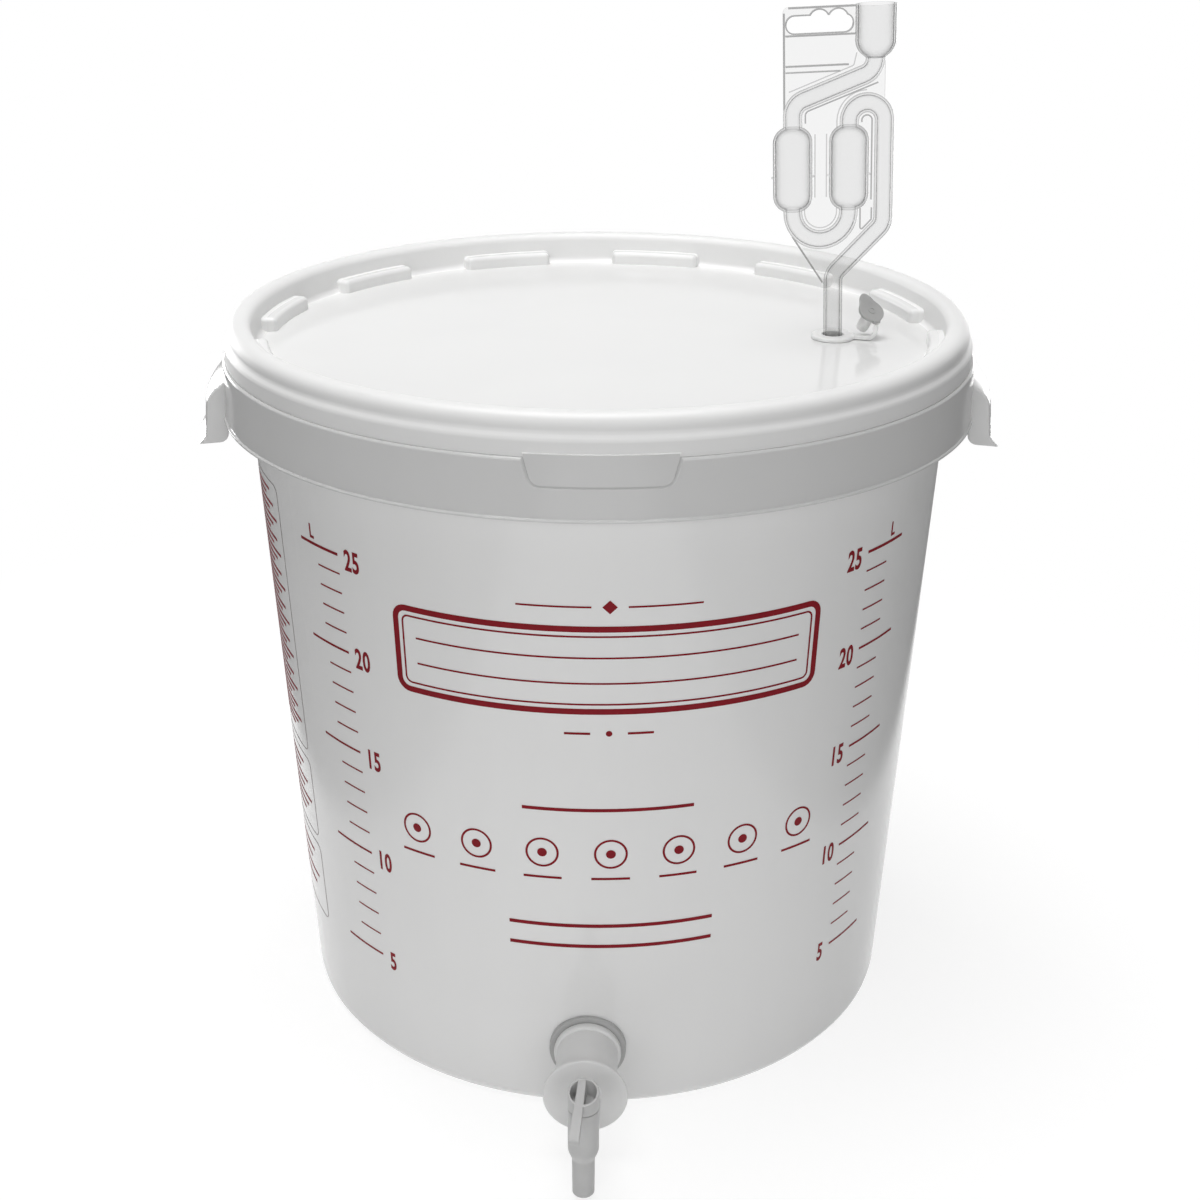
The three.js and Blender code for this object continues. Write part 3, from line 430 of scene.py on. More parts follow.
def clear_styrene(name, film_tone, least, steep):
    """Thin clear plastic: see-through face on, greyer and shinier where the wall turns away."""
    finish = Finish(name)
    finish.colour(finish.blend(finish.between(finish.noise(90.0), 0.0, 1.0), (0.29, 0.29, 0.29), (0.24, 0.24, 0.24)))
    finish.rough(finish.between(finish.noise(240.0), 0.06, 0.12))
    finish.grain(180.0, 0.05, 0.0004)
    facing = finish.nodes.new("ShaderNodeLayerWeight")
    facing.inputs["Blend"].default_value = 0.5
    edge = finish.nodes.new("ShaderNodeMath")
    edge.operation = "POWER"
    edge.inputs[1].default_value = steep
    finish.links.new(facing.outputs["Facing"], edge.inputs[0])
    film = finish.nodes.new("ShaderNodeBsdfTransparent")
    film.inputs["Color"].default_value = (film_tone, film_tone, film_tone, 1)
    path = finish.nodes.new("ShaderNodeLightPath")
    passing = finish.nodes.new("ShaderNodeMath")
    passing.operation = "MULTIPLY"
    finish.links.new(finish.between(edge.outputs[0], least, 0.95, 0.0, 1.0), passing.inputs[0])
    finish.links.new(finish.between(path.outputs["Is Shadow Ray"], 1.0, 0.15, 0.0, 1.0), passing.inputs[1])
    mix = finish.nodes.new("ShaderNodeMixShader")
    finish.links.new(passing.outputs[0], mix.inputs[0])
    finish.links.new(film.outputs[0], mix.inputs[1])
    finish.links.new(finish.shader.outputs[0], mix.inputs[2])
    finish.links.new(mix.outputs[0], finish.output.inputs["Surface"])
    return finish.set(Specular_IOR_Level=0.15)


clear_plastic = clear_styrene("clear_plastic", 0.958, 0.012, 2.8)
# Painted shade: a greyer, less see-through copy of the clear plastic for the dark lines along the web's edges, ribs and
# weld beads.
painted_dark_edge = clear_styrene("painted_dark_edge", 0.78, 0.25, 1.4)


# Bucket
def collar_ribs():
    ribs = []
    low, high = RIB_LOW, COLLAR_TOP - COLLAR_THICKNESS + 0.4
    corners = [(wall_radius(high) - 1.1, high), (wall_radius(low) - 0.4, low),
               (collar_radius(low) - COLLAR_THICKNESS + 0.4, low), (collar_radius(high) - 1.0, high)]
    for number in range(RIB_COUNT):
        bearing = 360 * (number + 0.5) / RIB_COUNT
        if abs((bearing + 90) % 180 - 90) < GRIP_HALF_ANGLE + RIB_THICKNESS:
            continue
        turn = Matrix.Rotation(math.radians(bearing), 4, "Z")
        ribs.append(moved(slab(corners, -RIB_THICKNESS / 2, RIB_THICKNESS / 2), turn))
    return together(ribs)


def grip_block(bearing):
    """A side grip as a full block, rounded at its cheeks and at the root of its lip."""
    corners = [(189.0, 349.5), (199.6, 342.6), (201.4, 321.6), (205.4, 317.6), (190.4, 317.6)]
    block = spun(corners, 24, [(1, 5.0), (2, 1.6), (4, 4.5)], -GRIP_HALF_ANGLE, 2 * GRIP_HALF_ANGLE)
    half = math.radians(GRIP_HALF_ANGLE)

    def at_cheek(vert):
        return abs(abs(math.atan2(vert.co.y, vert.co.x)) - half) < 1e-4
    cheeks = [edge for edge in block.edges
              if all(at_cheek(v) for v in edge.verts) and len(edge.link_faces) == 2]
    round_edges(block, cheeks, 1.0, 3)
    return moved(block, Matrix.Rotation(math.radians(bearing), 4, "Z"))


def grip_room(bearing):
    """The room for fingers inside a grip, open below."""
    side = wall_radius(COLLAR_TOP) + 0.3
    corners = [(side, 317.0), (203.2, 317.0), (199.2, 321.6), (197.6, 337.3), (189.0, 345.3), (side, 345.3)]
    half = GRIP_HALF_ANGLE - GRIP_CHEEK
    return spun(corners, 24, [], bearing - half, 2 * half)


def tongue_outline(margin):
    """The tongue seen from the front, grown by a margin, as (x, z) points from its left to its right top."""
    half, low, top = TONGUE_HALF + margin, TONGUE_LOW - margin, LID_SKIRT_BOTTOM + LID_THICKNESS
    radius = TONGUE_CORNER + margin
    left, right = TONGUE_SHIFT - half, TONGUE_SHIFT + half
    side = Vector((-TONGUE_TAPER, top - low)).normalized()
    half_angle = side.angle(Vector((1, 0))) / 2
    turn = math.pi - 2 * half_angle
    reach, rise = radius / math.tan(half_angle), low + radius
    points = [(left, top)]
    centre = left + TONGUE_TAPER + reach
    for step in range(CORNER_STEPS + 1):
        bearing = turn * (1 - step / CORNER_STEPS)
        points.append((centre - radius * math.sin(bearing), rise - radius * math.cos(bearing)))
    far = right - TONGUE_TAPER - reach
    for step in range(1, NOTCH_STEPS):
        points.append((centre + (far - centre) * step / NOTCH_STEPS, low))
    for step in range(CORNER_STEPS + 1):
        bearing = turn * step / CORNER_STEPS
        points.append((far + radius * math.sin(bearing), rise - radius * math.cos(bearing)))
    points.append((right, top))
    return points


def tongue_block(margin, back):
    """The tongue's outline as a block that reaches back to a given depth."""
    return slab(tongue_outline(margin), -NOTCH_FRONT, -back)


def notch_funnel():
    """A cutter that breaks the edge of the tongue's notch on the collar's face."""
    bm = bmesh.new()
    wide, narrow = NOTCH_CLEARANCE + 1.3 * NOTCH_CHAMFER, NOTCH_CLEARANCE - 0.03
    loops = []
    for margin, sink in ((wide, None), (wide, -0.3 * NOTCH_CHAMFER), (narrow, NOTCH_CHAMFER + 0.03), (narrow, 0)):
        loop = []
        for x, z in tongue_outline(margin):
            if sink is None:
                depth = NOTCH_FRONT
            elif sink:
                depth = math.sqrt((collar_radius(z) - sink) ** 2 - x ** 2)
            else:
                depth = NOTCH_BACK + 1
            loop.append(bm.verts.new((x, -depth, z)))
        loops.append(loop)
    for near, far in zip(loops, loops[1:]):
        for number in range(len(near)):
            bm.faces.new((near[number - 1], near[number], far[number], far[number - 1]))
    bm.faces.new(loops[0])
    bm.faces.new(loops[-1])
    bmesh.ops.recalc_face_normals(bm, faces=bm.faces)
    return bm


def tap_frame():
    return Matrix.Rotation(TAP_AZIMUTH, 4, "Z") @ Matrix.Translation((0, 0, TAP_HEIGHT))


ALONG_TAP = Matrix.Rotation(math.pi / 2, 4, "X")


def make_bucket():
    under = COLLAR_TOP - COLLAR_THICKNESS
    bead = wall_radius(RIM_TOP) + BEAD_DEPTH
    lip = collar_radius(COLLAR_BOTTOM)
    above_lip = COLLAR_BOTTOM + 1.5 * COLLAR_LIP_HEIGHT
    bead_low = RIM_TOP - BEAD_HEIGHT
    corners = [
        (0.0, 0.0), (BASE_RADIUS, 0.0), (wall_radius(under), under),
        (COLLAR_RADIUS - COLLAR_THICKNESS, under),
        (collar_radius(COLLAR_BOTTOM) - COLLAR_THICKNESS, COLLAR_BOTTOM),
        (lip, COLLAR_BOTTOM), (lip, COLLAR_BOTTOM + COLLAR_LIP_HEIGHT),
        (collar_radius(above_lip) - COLLAR_LIP, above_lip), (COLLAR_RADIUS, COLLAR_TOP),
        (wall_radius(COLLAR_TOP), COLLAR_TOP), (wall_radius(bead_low - BEAD_DEPTH), bead_low - BEAD_DEPTH),
        (bead, bead_low), (bead, RIM_TOP), (inner_radius(RIM_TOP), RIM_TOP),
        (inner_radius(BASE_THICKNESS), BASE_THICKNESS), (0.0, BASE_THICKNESS),
    ]
    rounds = [(1, 6.5), (2, 1.2), (5, 0.2), (6, 0.25), (7, 0.2), (8, 1.4), (12, 1.5), (13, 0.8), (14, 4.3)]
    bucket = shape("bucket_shell", spun(corners, rounds=rounds))
    hole = moved(spun([(0, 120), (TAP_HOLE_RADIUS, 120), (TAP_HOLE_RADIUS, 200), (0, 200)], SMALL_STEPS),
                 tap_frame() @ ALONG_TAP)
    combine(bucket,
            ("UNION", collar_ribs()),
            ("UNION", together([grip_block(0), grip_block(180)])),
            ("DIFFERENCE", together([grip_room(0), grip_room(180)])),
            ("DIFFERENCE", tongue_block(NOTCH_CLEARANCE, NOTCH_BACK)),
            ("DIFFERENCE", notch_funnel()),
            ("DIFFERENCE", hole))
    return dressed(finished(bucket), "bucket", "bucket_plastic", bucket_plastic.material, "bucket")


# Lid
def lid_plug(z):
    return inner_radius(z) - LID_PLUG_CLEARANCE


def lid_recess(z):
    return lid_plug(z) - LID_THICKNESS


def lid_lugs():
    outer = lid_recess(LID_FLOOR) + 1.0
    inner = lid_recess(LID_FLOOR) - LUG_DEPTH
    low, high = LID_FLOOR - 0.6, LID_FLOOR + LUG_HEIGHT
    lugs = []
    for number in range(LUG_COUNT):
        bearing = LUG_PHASE + 360 * number / LUG_COUNT
        lug = spun([(inner, low), (outer, low), (outer, high), (inner, high)], 10, [], -LUG_HALF_ANGLE,
                   2 * LUG_HALF_ANGLE)
        upper = [edge for edge in lug.edges
                 if edge.calc_face_angle(0) > 0.5 and max(v.co.z for v in edge.verts) > high - 0.1
                 and min(math.hypot(v.co.x, v.co.y) for v in edge.verts) < outer - 0.5]
        round_edges(lug, upper, 2.4, 5)
        lugs.append(moved(lug, Matrix.Rotation(math.radians(bearing), 4, "Z")))
    return together(lugs)


def lid_tongue():
    high = LID_SKIRT_BOTTOM + LID_THICKNESS
    foot = collar_radius(COLLAR_BOTTOM) - TONGUE_SINK
    corners = [(foot - TONGUE_DEPTH, COLLAR_BOTTOM), (foot, COLLAR_BOTTOM), (collar_radius(high), high),
               (collar_radius(high) - TONGUE_DEPTH, high)]
    band = shape("tongue", spun(corners, 40, [], -106.0, 32.0))
    combine(band, ("INTERSECT", tongue_block(0.0, 150.0)))
    bm = bmesh.new()
    bm.from_mesh(band.data)
    bpy.data.objects.remove(band)
    return bm


def make_lid():
    under = LID_FLOOR - LID_THICKNESS
    channel = LID_CREST - LID_THICKNESS
    corners = [
        (0.0, under), (lid_plug(under), under), (lid_plug(channel), channel),
        (LID_BAND - LID_THICKNESS, channel), (LID_BAND - LID_THICKNESS, LID_LEDGE - LID_THICKNESS),
        (LID_SKIRT - LID_THICKNESS, LID_LEDGE - LID_THICKNESS), (LID_SKIRT - LID_THICKNESS, LID_SKIRT_BOTTOM),
        (LID_SKIRT, LID_SKIRT_BOTTOM), (LID_SKIRT, LID_LEDGE - LEDGE_FALL), (LID_BAND, LID_LEDGE + LEDGE_RISE),
        (LID_BAND, LID_CREST),
        (lid_recess(LID_CREST), LID_CREST), (lid_recess(LID_FLOOR), LID_FLOOR), (0.0, LID_FLOOR),
    ]
    rounds = [(1, 3.0), (7, 0.15), (8, 1.2), (9, 1.2), (10, 5.6), (11, 4.0), (12, 3.0)]
    lid = shape("lid_shell", spun(corners, rounds=rounds, segments=6))
    hole = moved(spun([(0, -20), (GROMMET_HOLE, -20), (GROMMET_HOLE, 20), (0, 20)], SMALL_STEPS),
                 Matrix.Translation(AIRLOCK_FOOT))
    combine(lid, ("UNION", lid_lugs()), ("UNION", lid_tongue()), ("DIFFERENCE", hole))
    dressed(finished(lid), "lid", "lid_plastic", lid_plastic.material, "lid")
    # The tongue's faces below the skirt take the bucket's material, and with it the collar's painted shade.
    lid.data.materials.append(bucket_plastic.material)
    for face in lid.data.polygons:
        if face.center.z < (LID_SKIRT_BOTTOM - 0.05) * MM and math.hypot(face.center.x, face.center.y) > NOTCH_BACK * MM:
            face.material_index = 1
    return lid


# Airlock
def swept(route, radius, steps=TUBE_STEPS, bend_steps=10):
    """A round bar along a flat route of (u, w, bend radius) corners."""
    points = [Vector((u, 0, w)) for u, w, bend in route]
    bm = bmesh.new()
    ahead = (points[1] - points[0]).normalized()
    facing = Vector((0, 0, 1)).rotation_difference(ahead).to_matrix().to_4x4()
    made = bmesh.ops.create_circle(bm, cap_ends=True, radius=radius, segments=steps,
                                   matrix=Matrix.Translation(points[0]) @ facing)
    edges = list({edge for vert in made["verts"] for edge in vert.link_edges})
    at = points[0]
    for number in range(1, len(points)):
        after = (points[number + 1] - points[number]).normalized() if number + 1 < len(points) else ahead
        turn = ahead.angle(after)
        reach = route[number][2] * math.tan(turn / 2)
        target = points[number] - ahead * reach
        if (target - at).length > 1e-4:
            grown = bmesh.ops.extrude_edge_only(bm, edges=edges)["geom"]
            bmesh.ops.translate(bm, vec=target - at, verts=[g for g in grown if isinstance(g, bmesh.types.BMVert)])
            edges = [g for g in grown if isinstance(g, bmesh.types.BMEdge)]
        if turn > 1e-4:
            axis = ahead.cross(after).normalized()
            centre = target + axis.cross(ahead) * route[number][2]
            verts = list({vert for edge in edges for vert in edge.verts})
            grown = bmesh.ops.spin(bm, geom=verts + edges, cent=centre, axis=axis, dvec=(0, 0, 0), angle=turn,
                                   steps=bend_steps, use_merge=False, use_normal_flip=False, use_duplicate=False)
            edges = [g for g in grown["geom_last"] if isinstance(g, bmesh.types.BMEdge)]
        at = points[number] + after * reach
        ahead = after
    bmesh.ops.holes_fill(bm, edges=[edge for edge in bm.edges if edge.is_boundary], sides=0)
    tidy_shell(bm)
    return bm


def airlock_routes(extra):
    trap_low, trap_bend = 50.9, 13.9
    arch_high, arch_bend = 117.4, 8.6
    cross = [(CUP_U, 143.2, 0), (CUP_U, 132.4, 8.0), (BULB_LEFT_U, 117.8, 8.0), (BULB_LEFT_U, BULB_MIDDLE, 0)]
    trap = [(BULB_LEFT_U, BULB_MIDDLE, 0), (BULB_LEFT_U, trap_low, trap_bend),
            (BULB_RIGHT_U, trap_low, trap_bend), (BULB_RIGHT_U, BULB_MIDDLE, 0)]
    riser = [(BULB_RIGHT_U, BULB_MIDDLE, 0), (BULB_RIGHT_U, arch_high, arch_bend), (24.8, arch_high, arch_bend),
             (24.8, 57.7, 8.0), (0.0, 33.0, 8.0), (0.0, -16.0 - extra, 0)]
    return [cross, trap, riser]


def bulb(u, inset):
    radius, low, high = BULB_RADIUS - inset, BULB_LOW + inset, BULB_HIGH - inset
    round_off = BULB_ROUND - inset
    body = spun([(0, low), (radius, low), (radius, high), (0, high)], TUBE_STEPS, [(1, round_off), (2, round_off)],
                segments=8)
    return moved(body, Matrix.Translation((u, 0, 0)))


def cup(inset, top):
    radius, neck = CUP_RADIUS - inset, TUBE_RADIUS - inset
    corners = [(0, CUP_NECK), (neck, CUP_NECK), (radius, CUP_NECK + CUP_FLARE), (radius, top), (0, top)]
    return moved(spun(corners, TUBE_STEPS, [(2, 3.6)], segments=6), Matrix.Translation((CUP_U, 0, 0)))


def bar(start, end, width, thickness):
    """A straight raised rib on the web between two (u, w) points."""
    first, last = Vector((start[0], 0, start[1])), Vector((end[0], 0, end[1]))
    along = (last - first).normalized()
    side = Vector((-along.z, 0, along.x)) * width / 2
    corners = [first - side, last - side, last + side, first + side]
    return slab([(c.x, c.z) for c in corners], -thickness / 2, thickness / 2)


def web_plate():
    half = WEB_THICKNESS / 2
    corners = [
        (WEB_LEFT_U, CUP_TOP), (WEB_LEFT_U, 113.0), (BULB_LEFT_U, 108.3), (BULB_LEFT_U, 64.8), (-19.5, 51.6),
        (-TUBE_RADIUS, 28.0), (0.0, 28.0), (0.0, 33.0), (24.8, 57.7), (24.8, 137.1), (CUP_U, CUP_NECK),
        (CUP_U, CUP_TOP),
    ]
    plate = shape("web", slab(corners, -half, half, [(0, 2.5)]))
    slot_low, slot_high = 151.2, 159.1
    slot = slab([(-23.2, slot_low), (8.8, slot_low), (8.8, slot_high), (-23.2, slot_high)], -3, 3,
                [(0, 3.9), (1, 3.9), (2, 3.9), (3, 3.9)])
    rim, thick = 0.6, WEB_RIB_THICKNESS / 2
    boss = slab([(-23.2 - rim, slot_low - rim), (8.8 + rim, slot_low - rim), (8.8 + rim, slot_high + rim),
                 (-23.2 - rim, slot_high + rim)], -thick, thick, [(0, 4.4), (1, 4.4), (2, 4.4), (3, 4.4)])
    cuts, rims = [("DIFFERENCE", slot)], [("UNION", boss)]
    for u in (-7.4, 1.8):
        place = Matrix.Translation((u, 0, 157.1)) @ ALONG_TAP
        cuts.append(("DIFFERENCE", moved(spun([(0, -2.9), (4.6, -2.9), (4.6, 2.9), (0, 2.9)], 40), place)))
        rims.append(("UNION", moved(spun([(0, -thick), (5.3, -thick), (5.3, thick), (0, thick)], 40), place)))
    combine(plate, *rims, *cuts)
    bm = bmesh.new()
    bm.from_mesh(plate.data)
    bpy.data.objects.remove(plate)
    return bm


def web_ribs():
    thick = WEB_RIB_THICKNESS
    edge = WEB_LEFT_U + 0.45
    ribs = [
        bar((edge, 113.4), (edge, 160.6), 0.9, thick),
        bar((WEB_LEFT_U + 2.6, CUP_TOP - 0.45), (10.5, CUP_TOP - 0.45), 0.9, thick),
        bar((edge + 0.7, 150.0), (10.2, 150.0), 0.8, thick),
        bar((edge + 0.7, 135.8), (7.0, 135.8), 0.8, thick),
        bar((edge + 0.7, 132.9), (3.0, 132.9), 0.6, thick),
        bar((-20.5, 53.0), (-5.4, 29.2), 0.8, thick),
    ]
    marks = [bar((u + side * (BULB_RADIUS - 0.3), FILL_MARK_W), (u + side * (BULB_RADIUS + 0.8), FILL_MARK_W), 0.6, 3.0)
             for u in (BULB_LEFT_U, BULB_RIGHT_U) for side in (-1, 1)]
    return together(ribs + marks)


def web_beads():
    """Weld beads on the web that run beside the tubes and bulbs."""
    trap, beside = BULB_LEFT_U + BULB_RADIUS + 1.2, BULB_RIGHT_U - BULB_RADIUS - 1.2
    routes = [
        [(-14.3, 66.5, 0), (-14.3, 56.8, 8.0), (1.7, 56.8, 8.0), (1.7, 66.5, 0)],
        [(trap, 72.0, 0), (trap, 103.0, 0)],
        [(beside, 72.0, 0), (beside, 103.0, 0)],
        [(18.75, 70.0, 0), (18.75, 111.3, 2.5), (13.7, 111.3, 2.5), (13.7, 108.0, 0)],
        [(-14.0, 108.5, 0), (-14.0, 113.9, 2.5), (21.5, 126.7, 0)],
        [(1.6, 105.0, 0), (1.6, 123.3, 14.4), (16.2, 123.3, 0)],
        [(13.4, 66.0, 0), (13.4, 54.4, 0.8), (19.0, 60.1, 0.8), (19.0, 66.0, 0)],
        [(-22.0, 123.6, 0), (9.6, 135.1, 1.5), (11.0, 141.0, 0)],
    ]
    return [swept(route, BEAD_RADIUS, 12, 8) for route in routes]


def make_airlock():
    outside = [swept(route, TUBE_RADIUS) for route in airlock_routes(0)]
    inside = [swept(route, TUBE_RADIUS - TUBE_WALL) for route in airlock_routes(0.4)]
    outside += [bulb(BULB_LEFT_U, 0), bulb(BULB_RIGHT_U, 0), cup(0, CUP_TOP), web_plate(), web_ribs(), *web_beads()]
    inside += [bulb(BULB_LEFT_U, TUBE_WALL), bulb(BULB_RIGHT_U, TUBE_WALL), cup(TUBE_WALL, CUP_TOP + 0.4)]
    airlock = shape("airlock_tube", outside[0])
    combine(airlock, *[("UNION", bm) for bm in outside[1:]], *[("DIFFERENCE", bm) for bm in inside])
    place = Matrix.Translation(AIRLOCK_FOOT) @ Matrix.Rotation(-AIRLOCK_LEAN, 4, "Y")
    finished(airlock, place)
    dressed(airlock, "airlock", "clear_plastic", clear_plastic.material, "airlock")
    # Faces lying 0.6 to 1.06 mm off the web's plane, on its ribs, beads and edges, take the copy with painted dark
    # lines.
    airlock.data.materials.append(painted_dark_edge.material)
    for face in airlock.data.polygons:
        if EDGE_NEAR < abs(face.center.y) < EDGE_FAR:
            face.material_index = 1
    return airlock


# Grommet, strap and stopper
GROMMET_FLANGE = 11.2
GROMMET_FOOT = 10.0
GROMMET_RISE = 1.8
GROMMET_GAP = 0.3
STRAP_BEARING = math.radians(-14)
STRAP_WIDTH = 3.8
STRAP_THICKNESS = 2.0
STRAP_END = 21.8
STRAP_HIGH = 368.0
STOPPER_RADIUS = 6.7
STOPPER_TAB = 4.6
STOPPER_THICKNESS = 1.8
STOPPER_OPEN = math.radians(38)
STOPPER_TWIST = math.radians(-66)


def grommet_strap():
    low = LID_FLOOR + GROMMET_GAP
    high = low + STRAP_THICKNESS
    right, left = STRAP_END + STRAP_THICKNESS / 2, STRAP_END - STRAP_THICKNESS / 2
    corners = [(9.4, low), (right, low), (right, STRAP_HIGH), (left, STRAP_HIGH), (left, high), (9.4, high)]
    strap = slab(corners, -STRAP_WIDTH / 2, STRAP_WIDTH / 2, [(1, 5.0), (4, 3.0)], 8)
    long_edges = [edge for edge in strap.edges if edge.calc_face_angle(0) > 1.2
                  and abs(edge.verts[0].co.y - edge.verts[1].co.y) < 1e-4]
    round_edges(strap, long_edges, 0.45, 2)
    return moved(strap, Matrix.Rotation(STRAP_BEARING, 4, "Z"))


def make_grommet():
    under = LID_FLOOR - LID_THICKNESS - GROMMET_GAP
    over = LID_FLOOR + GROMMET_GAP
    neck = GROMMET_HOLE - GROMMET_GAP
    corners = [(0, under - GROMMET_RISE), (GROMMET_FOOT, under - GROMMET_RISE), (GROMMET_FOOT, under), (neck, under),
               (neck, over), (GROMMET_FLANGE, over), (GROMMET_FLANGE, over + GROMMET_RISE), (0, over + GROMMET_RISE)]
    grommet = shape("grommet_ring", spun(corners, SMALL_STEPS, [(1, 0.6), (6, 0.9)]))
    stem = TUBE_RADIUS + GROMMET_GAP
    bore = spun([(0, -64), (stem, -64), (stem, 64), (0, 64)], SMALL_STEPS)
    moved(bore, Matrix.Translation((0, 0, LID_FLOOR)) @ Matrix.Rotation(-AIRLOCK_LEAN, 4, "Y"))
    lip = moved(spun([(0, -4.1), (stem, -4.1), (stem + 0.6, 0.1), (0, 0.1)], SMALL_STEPS),
                Matrix.Translation((0, 0, over + GROMMET_RISE)))
    combine(grommet, ("UNION", grommet_strap()), ("DIFFERENCE", bore), ("DIFFERENCE", lip))
    finished(grommet, Matrix.Translation((AIRLOCK_FOOT.x, AIRLOCK_FOOT.y, 0)))
    return dressed(grommet, "lid", "white_rubber", white_rubber.material, "airlock_grommet")


def stopper_cap():
    """A flat cap whose round edge runs out into a thumb tab."""
    bm = bmesh.new()
    bmesh.ops.create_circle(bm, cap_ends=True, radius=STOPPER_RADIUS, segments=96,
                            matrix=Matrix.Translation((0, 0, -STOPPER_THICKNESS / 2)))
    for vert in bm.verts:
        bearing = math.atan2(vert.co.y, -vert.co.x)
        grow = 1 + STOPPER_TAB / STOPPER_RADIUS * math.exp(-(bearing / 0.44) ** 2)
        vert.co.x *= grow
        vert.co.y *= grow
    grown = bmesh.ops.extrude_face_region(bm, geom=bm.faces[:], use_keep_orig=True)["geom"]
    bmesh.ops.translate(bm, vec=(0, 0, STOPPER_THICKNESS), verts=[g for g in grown if isinstance(g, bmesh.types.BMVert)])
    bmesh.ops.recalc_face_normals(bm, faces=bm.faces)
    round_edges(bm, [edge for edge in bm.edges if edge.calc_face_angle(0) > 1.0], 0.45, 3)
    return bm


def make_stopper():
    half = STOPPER_THICKNESS / 2
    plug = spun([(2.0, -half - 12), (3.3, -half - 12), (3.3, 0), (2.0, 0)], 40, [(0, 0.4), (1, 0.6)])
    knuckle = moved(spun([(0, -STRAP_WIDTH / 2), (1.0, -STRAP_WIDTH / 2), (1.0, STRAP_WIDTH / 2), (0, STRAP_WIDTH / 2)], 24),
                    Matrix.Translation((STOPPER_RADIUS, 0, 0)) @ ALONG_TAP)
    mark = spun([(1.2, half - 0.2), (2.0, half - 0.2), (2.0, half + 0.25), (1.2, half + 0.25)], 32)
    stopper = shape("stopper", stopper_cap())
    combine(stopper, ("UNION", plug), ("UNION", knuckle), ("UNION", mark))
    hinge = Matrix.Rotation(STRAP_BEARING, 4, "Z") @ Vector((STRAP_END, 0, STRAP_HIGH))
    place = (Matrix.Translation((AIRLOCK_FOOT.x + hinge.x, AIRLOCK_FOOT.y + hinge.y, hinge.z + GROMMET_GAP + 1.0))
             @ Matrix.Rotation(STOPPER_TWIST, 4, "Z") @ Matrix.Rotation(STOPPER_OPEN, 4, "Y")
             @ Matrix.Translation((-STOPPER_RADIUS, 0, 0)))
    finished(stopper, place)
    dressed(stopper, "stopper", "grey_rubber", grey_rubber.material, "stopper_cap")
    # The cap is painted grey as shade; faces below it, on its plug, take the white rubber.
    stopper.data.materials.append(white_rubber.material)
    flat = place.inverted() @ Matrix.Diagonal((1 / MM, 1 / MM, 1 / MM, 1))
    for face in stopper.data.polygons:
        if (flat @ face.center).z < -half - 0.01:
            face.material_index = 1
    return stopper


# Drain tap
TAP_WALL = wall_radius(TAP_HEIGHT)
FLANGE_BACK = TAP_WALL + 3.3
DISC_FRONT = TAP_WALL + 39.4
BARREL_FRONT = DISC_FRONT - 6.6
SPOUT_AXIS = TAP_WALL + 64.0
SPOUT_RADIUS = 7.4
SPOUT_UP = 13.5
SPOUT_DOWN = -10.3
SPOUT_LOW = -14.9
NOZZLE_RADIUS = 5.3
NOZZLE_END = -35.7
PLUG_SWING = math.radians(-5.6)
LEVER_HALF = 2.0
LEVER_FLARE = 0.35


def make_tap_body():
    shank = spun([
        (0, TAP_WALL - 27), (12, TAP_WALL - 27), (12, FLANGE_BACK), (16.75, FLANGE_BACK), (16.75, FLANGE_BACK + 4),
        (15.2, FLANGE_BACK + 4), (15.2, BARREL_FRONT), (20.6, DISC_FRONT - 2.2), (20.6, DISC_FRONT),
        (18.4, DISC_FRONT), (SPOUT_RADIUS, DISC_FRONT - 1.8), (SPOUT_RADIUS, SPOUT_AXIS), (0, SPOUT_AXIS),
    ], 96, [(1, 0.8), (3, 0.8), (4, 2.0), (5, 0.7), (6, 2.6), (7, 0.7), (8, 0.7), (9, 1.0), (10, 1.2)])
    bore = spun([(0, TAP_WALL - 28), (9.3, TAP_WALL - 28), (9.3, BARREL_FRONT), (4, BARREL_FRONT + 2.2),
                 (4, SPOUT_AXIS), (0, SPOUT_AXIS)], SMALL_STEPS)
    spout = spun([(0, NOZZLE_END), (NOZZLE_RADIUS, NOZZLE_END), (NOZZLE_RADIUS + 0.2, SPOUT_LOW),
                  (SPOUT_RADIUS, SPOUT_DOWN), (SPOUT_RADIUS, SPOUT_UP), (0, SPOUT_UP)], SMALL_STEPS,
                 [(1, 0.6), (2, 0.9), (3, 1.4), (4, 0.5)])
    seat = spun([(0, NOZZLE_END - 1), (3.7, NOZZLE_END - 1), (3.7, SPOUT_DOWN + 2), (5.9, SPOUT_DOWN + 2),
                 (5.9, SPOUT_UP + 1), (0, SPOUT_UP + 1)], SMALL_STEPS)
    forward = Matrix.Translation((0, -SPOUT_AXIS, 0))
    body = shape("tap_cock", moved(shank, ALONG_TAP))
    combine(body, ("UNION", moved(spout, forward)), ("DIFFERENCE", moved(bore, ALONG_TAP)),
            ("DIFFERENCE", moved(seat, forward)))
    finished(body, tap_frame())
    return dressed(body, "bucket", "tap_plastic", tap_plastic.material, "tap_body")


